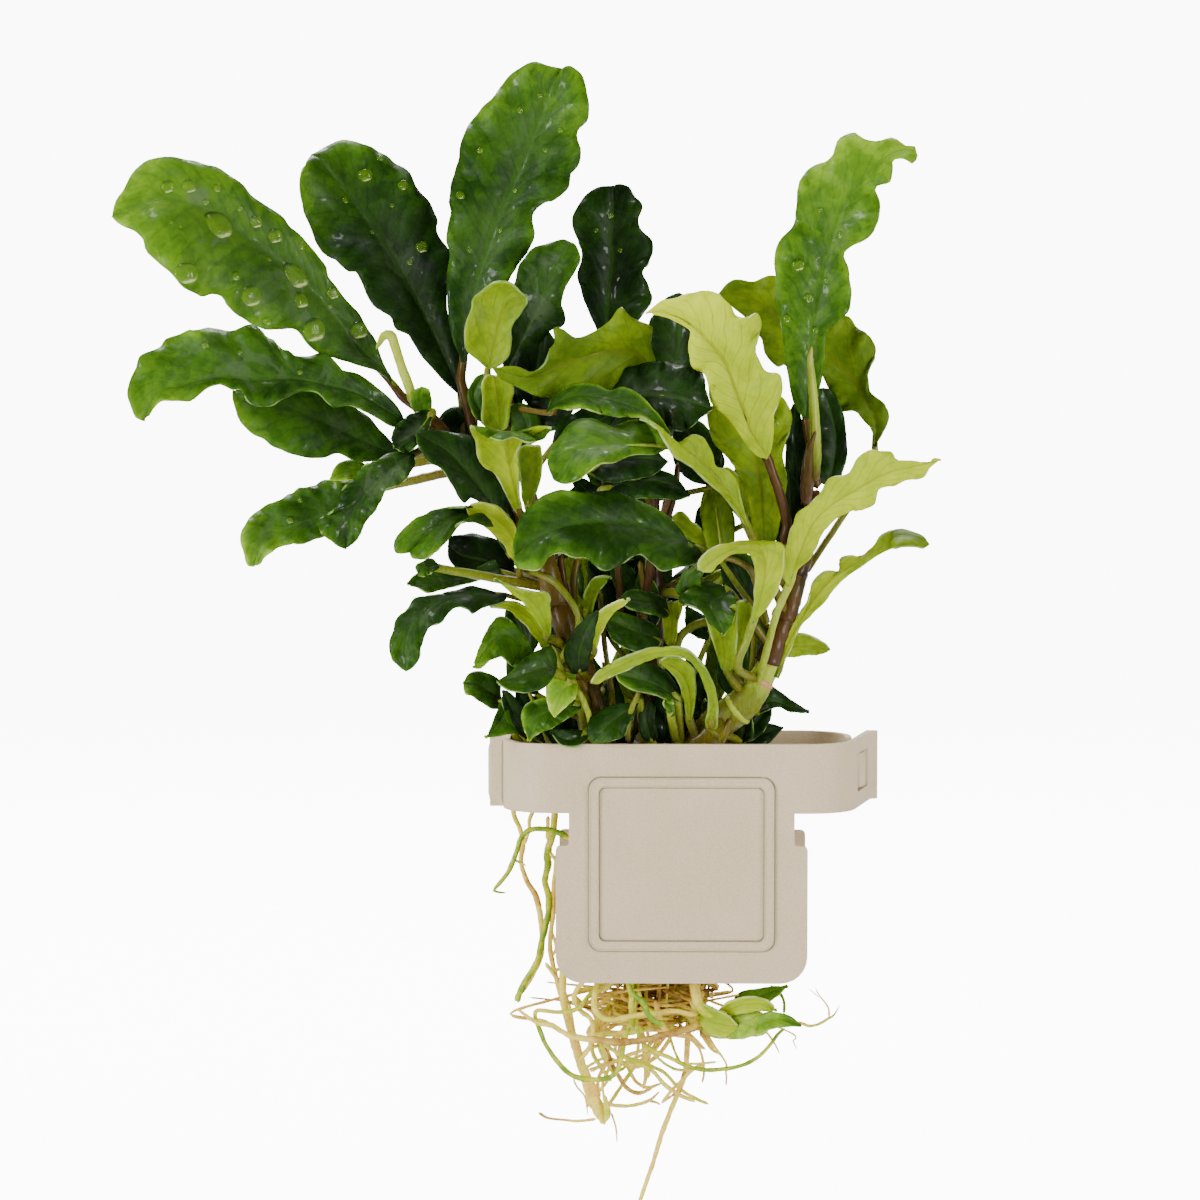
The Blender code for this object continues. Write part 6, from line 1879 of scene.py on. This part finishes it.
for vert in catch.verts:
    x = 30.6 if vert.co.x < 0 else (32.6 if vert.co.y < 0 else 33.7)
    vert.co = Vector((x, 3.4 + 4.4 * vert.co.y, 6.4 + 6.3 * vert.co.z)) * MM
made = piece(catch, "window_catch", [plastic])
step = made.modifiers.new("soft_edges", "BEVEL")
step.width, step.segments = 0.2 * MM, 2
print("moulding marks made")

# %% [markdown]
# ## Water drops
#
# The plant has just been lifted out of water. The large leaves carry flat domes of water,
# seen on the picture at known points. From each point a ray is followed to the first leaf
# it meets, and a flattened ball is laid there in the plane of the leaf, half sunk into it.
# A drop is clear in its middle. Its dark rim is painted shade, set by how slanting the surface
# is seen and by a value painted on its upper side and lowest edge, and the bright crescent at
# its lower side, where a drop gathers the light, is a painted highlight, since gathering light
# exactly would need far more samples than the picture has.

# %% Drop finish
drop_skin, tree, shader = new_material("water_drop")
# Painted shade darkens the rim, where the drop is seen at a slant, and the side marked dark on the mesh; a
# painted highlight lightens the crescent marked bright on it.
glance = feed_all(tree, tree.nodes.new("ShaderNodeLayerWeight"), dict(Blend=0.5))["Facing"]
rim = step_between(tree, glance, 0.3, 0.9)
bright, dark = painted(tree, "tone"), painted(tree, "haze")
shade = mixed(tree, sum_of(tree, "MAXIMUM", dark, rim), (0.16, 0.32, 0.012), (0.012, 0.045, 0.002))
dense = sum_of(tree, "MAXIMUM", sum_of(tree, "MULTIPLY_ADD", rim, 0.4, 0.28), times(tree, dark, 0.6))
feed_all(tree, shader, dict(Base_Color=mixed(tree, bright, shade, (0.60, 0.72, 0.26)),
                            Alpha=sum_of(tree, "MAXIMUM", dense, times(tree, bright, 0.7)),
                            Roughness=0.05, Specular_IOR_Level=0.35))

# %% Lay the drops
# px, py and the radius in points of the picture.
DROPS = points_of(
    "219,225,17 296,275,16 186,273,13 251,296,13 301,300,9 275,236,8 256,222,7 333,293,7 359,330,10 "
    "314,330,13 168,187,7 190,186,8 217,188,5 206,202,4 240,208,3 302,246,4 236,276,5 269,259,3 171,222,3 "
    "180,226,2 158,255,4 267,321,5 297,254,2 330,306,3 365,175,8 403,185,6 422,247,7 345,200,4 380,158,4 "
    "392,205,3 372,232,3 410,262,4 460,195,5 480,150,4 520,110,4 545,150,3 500,230,3 540,95,3 470,250,3 "
    "560,130,3 515,190,3 798,265,7 809,298,6 787,318,5 815,330,4 806,352,3 826,280,3 840,235,4 820,210,3 "
    "775,421,5 205,345,4 240,352,3 300,372,3 610,215,4 620,250,3 596,230,3 690,545,4 640,520,3 300,500,3 "
    "290,520,4")
TO_CRESCENT, SIDEWAYS = Vector((0.25, 0.1, -1.0)).normalized(), Vector((1, 0, 0.3)).normalized()
whole = bmesh.new()
for made in bpy.context.scene.objects:
    if made.name.startswith("leaf_") and leaf_top.name in made.data.materials:
        whole.from_mesh(made.data)
surface = BVHTree.FromBMesh(whole)
whole.free()
drops, laid = bmesh.new(), 0
layers = layers_of(drops)
dice = random.Random(2)
for px, py, size in DROPS:
    way = ray(px, py).normalized()
    spot, normal = surface.ray_cast(eye * MM, way)[:2]
    if spot is None:
        continue
    normal = -normal if normal.dot(way) > 0 else normal
    radius = size * (TAKES_IN / PICTURE) * MM
    turn = normal.to_track_quat("Z", "Y").to_matrix().to_4x4()
    high = 0.42 if size > 8 else 0.5
    flat = Matrix.Diagonal((radius, radius * dice.uniform(0.82, 1.0), radius * high, 1))
    ball = bmesh.ops.create_icosphere(drops, subdivisions=3 if size > 6 else 2, radius=1.0,
                                      matrix=Matrix.Translation(spot) @ turn @ flat)["verts"]
    for vert in ball:
        away = (vert.co - spot) / radius
        low, side = away.dot(TO_CRESCENT), away.dot(SIDEWAYS)
        vert.co += away * radius * 0.10 * noise.noise(vert.co * 400)
        # Painted on the drop: a bright crescent, a painted highlight, on its lower side, and painted shade
        # over its upper side and along its lowest edge.
        crescent = ease((low - 0.42) / 0.2) * ease((0.86 - low) * 7) * ease((0.75 - abs(side)) * 3)
        vert[layers["tone"]] = crescent
        vert[layers["haze"]] = ease((-0.45 - low) / 0.35) + ease((low - 0.85) / 0.1)
    laid += 1
for face in drops.faces:
    face.smooth = True
piece(drops, "water_drops", [drop_skin])
print("drops:", laid, "of", len(DROPS))

# %% [markdown]
# ## Sizes and the end
#
# Both boxes, of the imported model and of the dressed plant, are printed side by side. The
# dressed plant may not be larger than the imported model.

# %% Print both boxes
size = {"cad_box": cad_box, "visual_box": [list(corner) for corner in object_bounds()]}
print("boxes:", size)
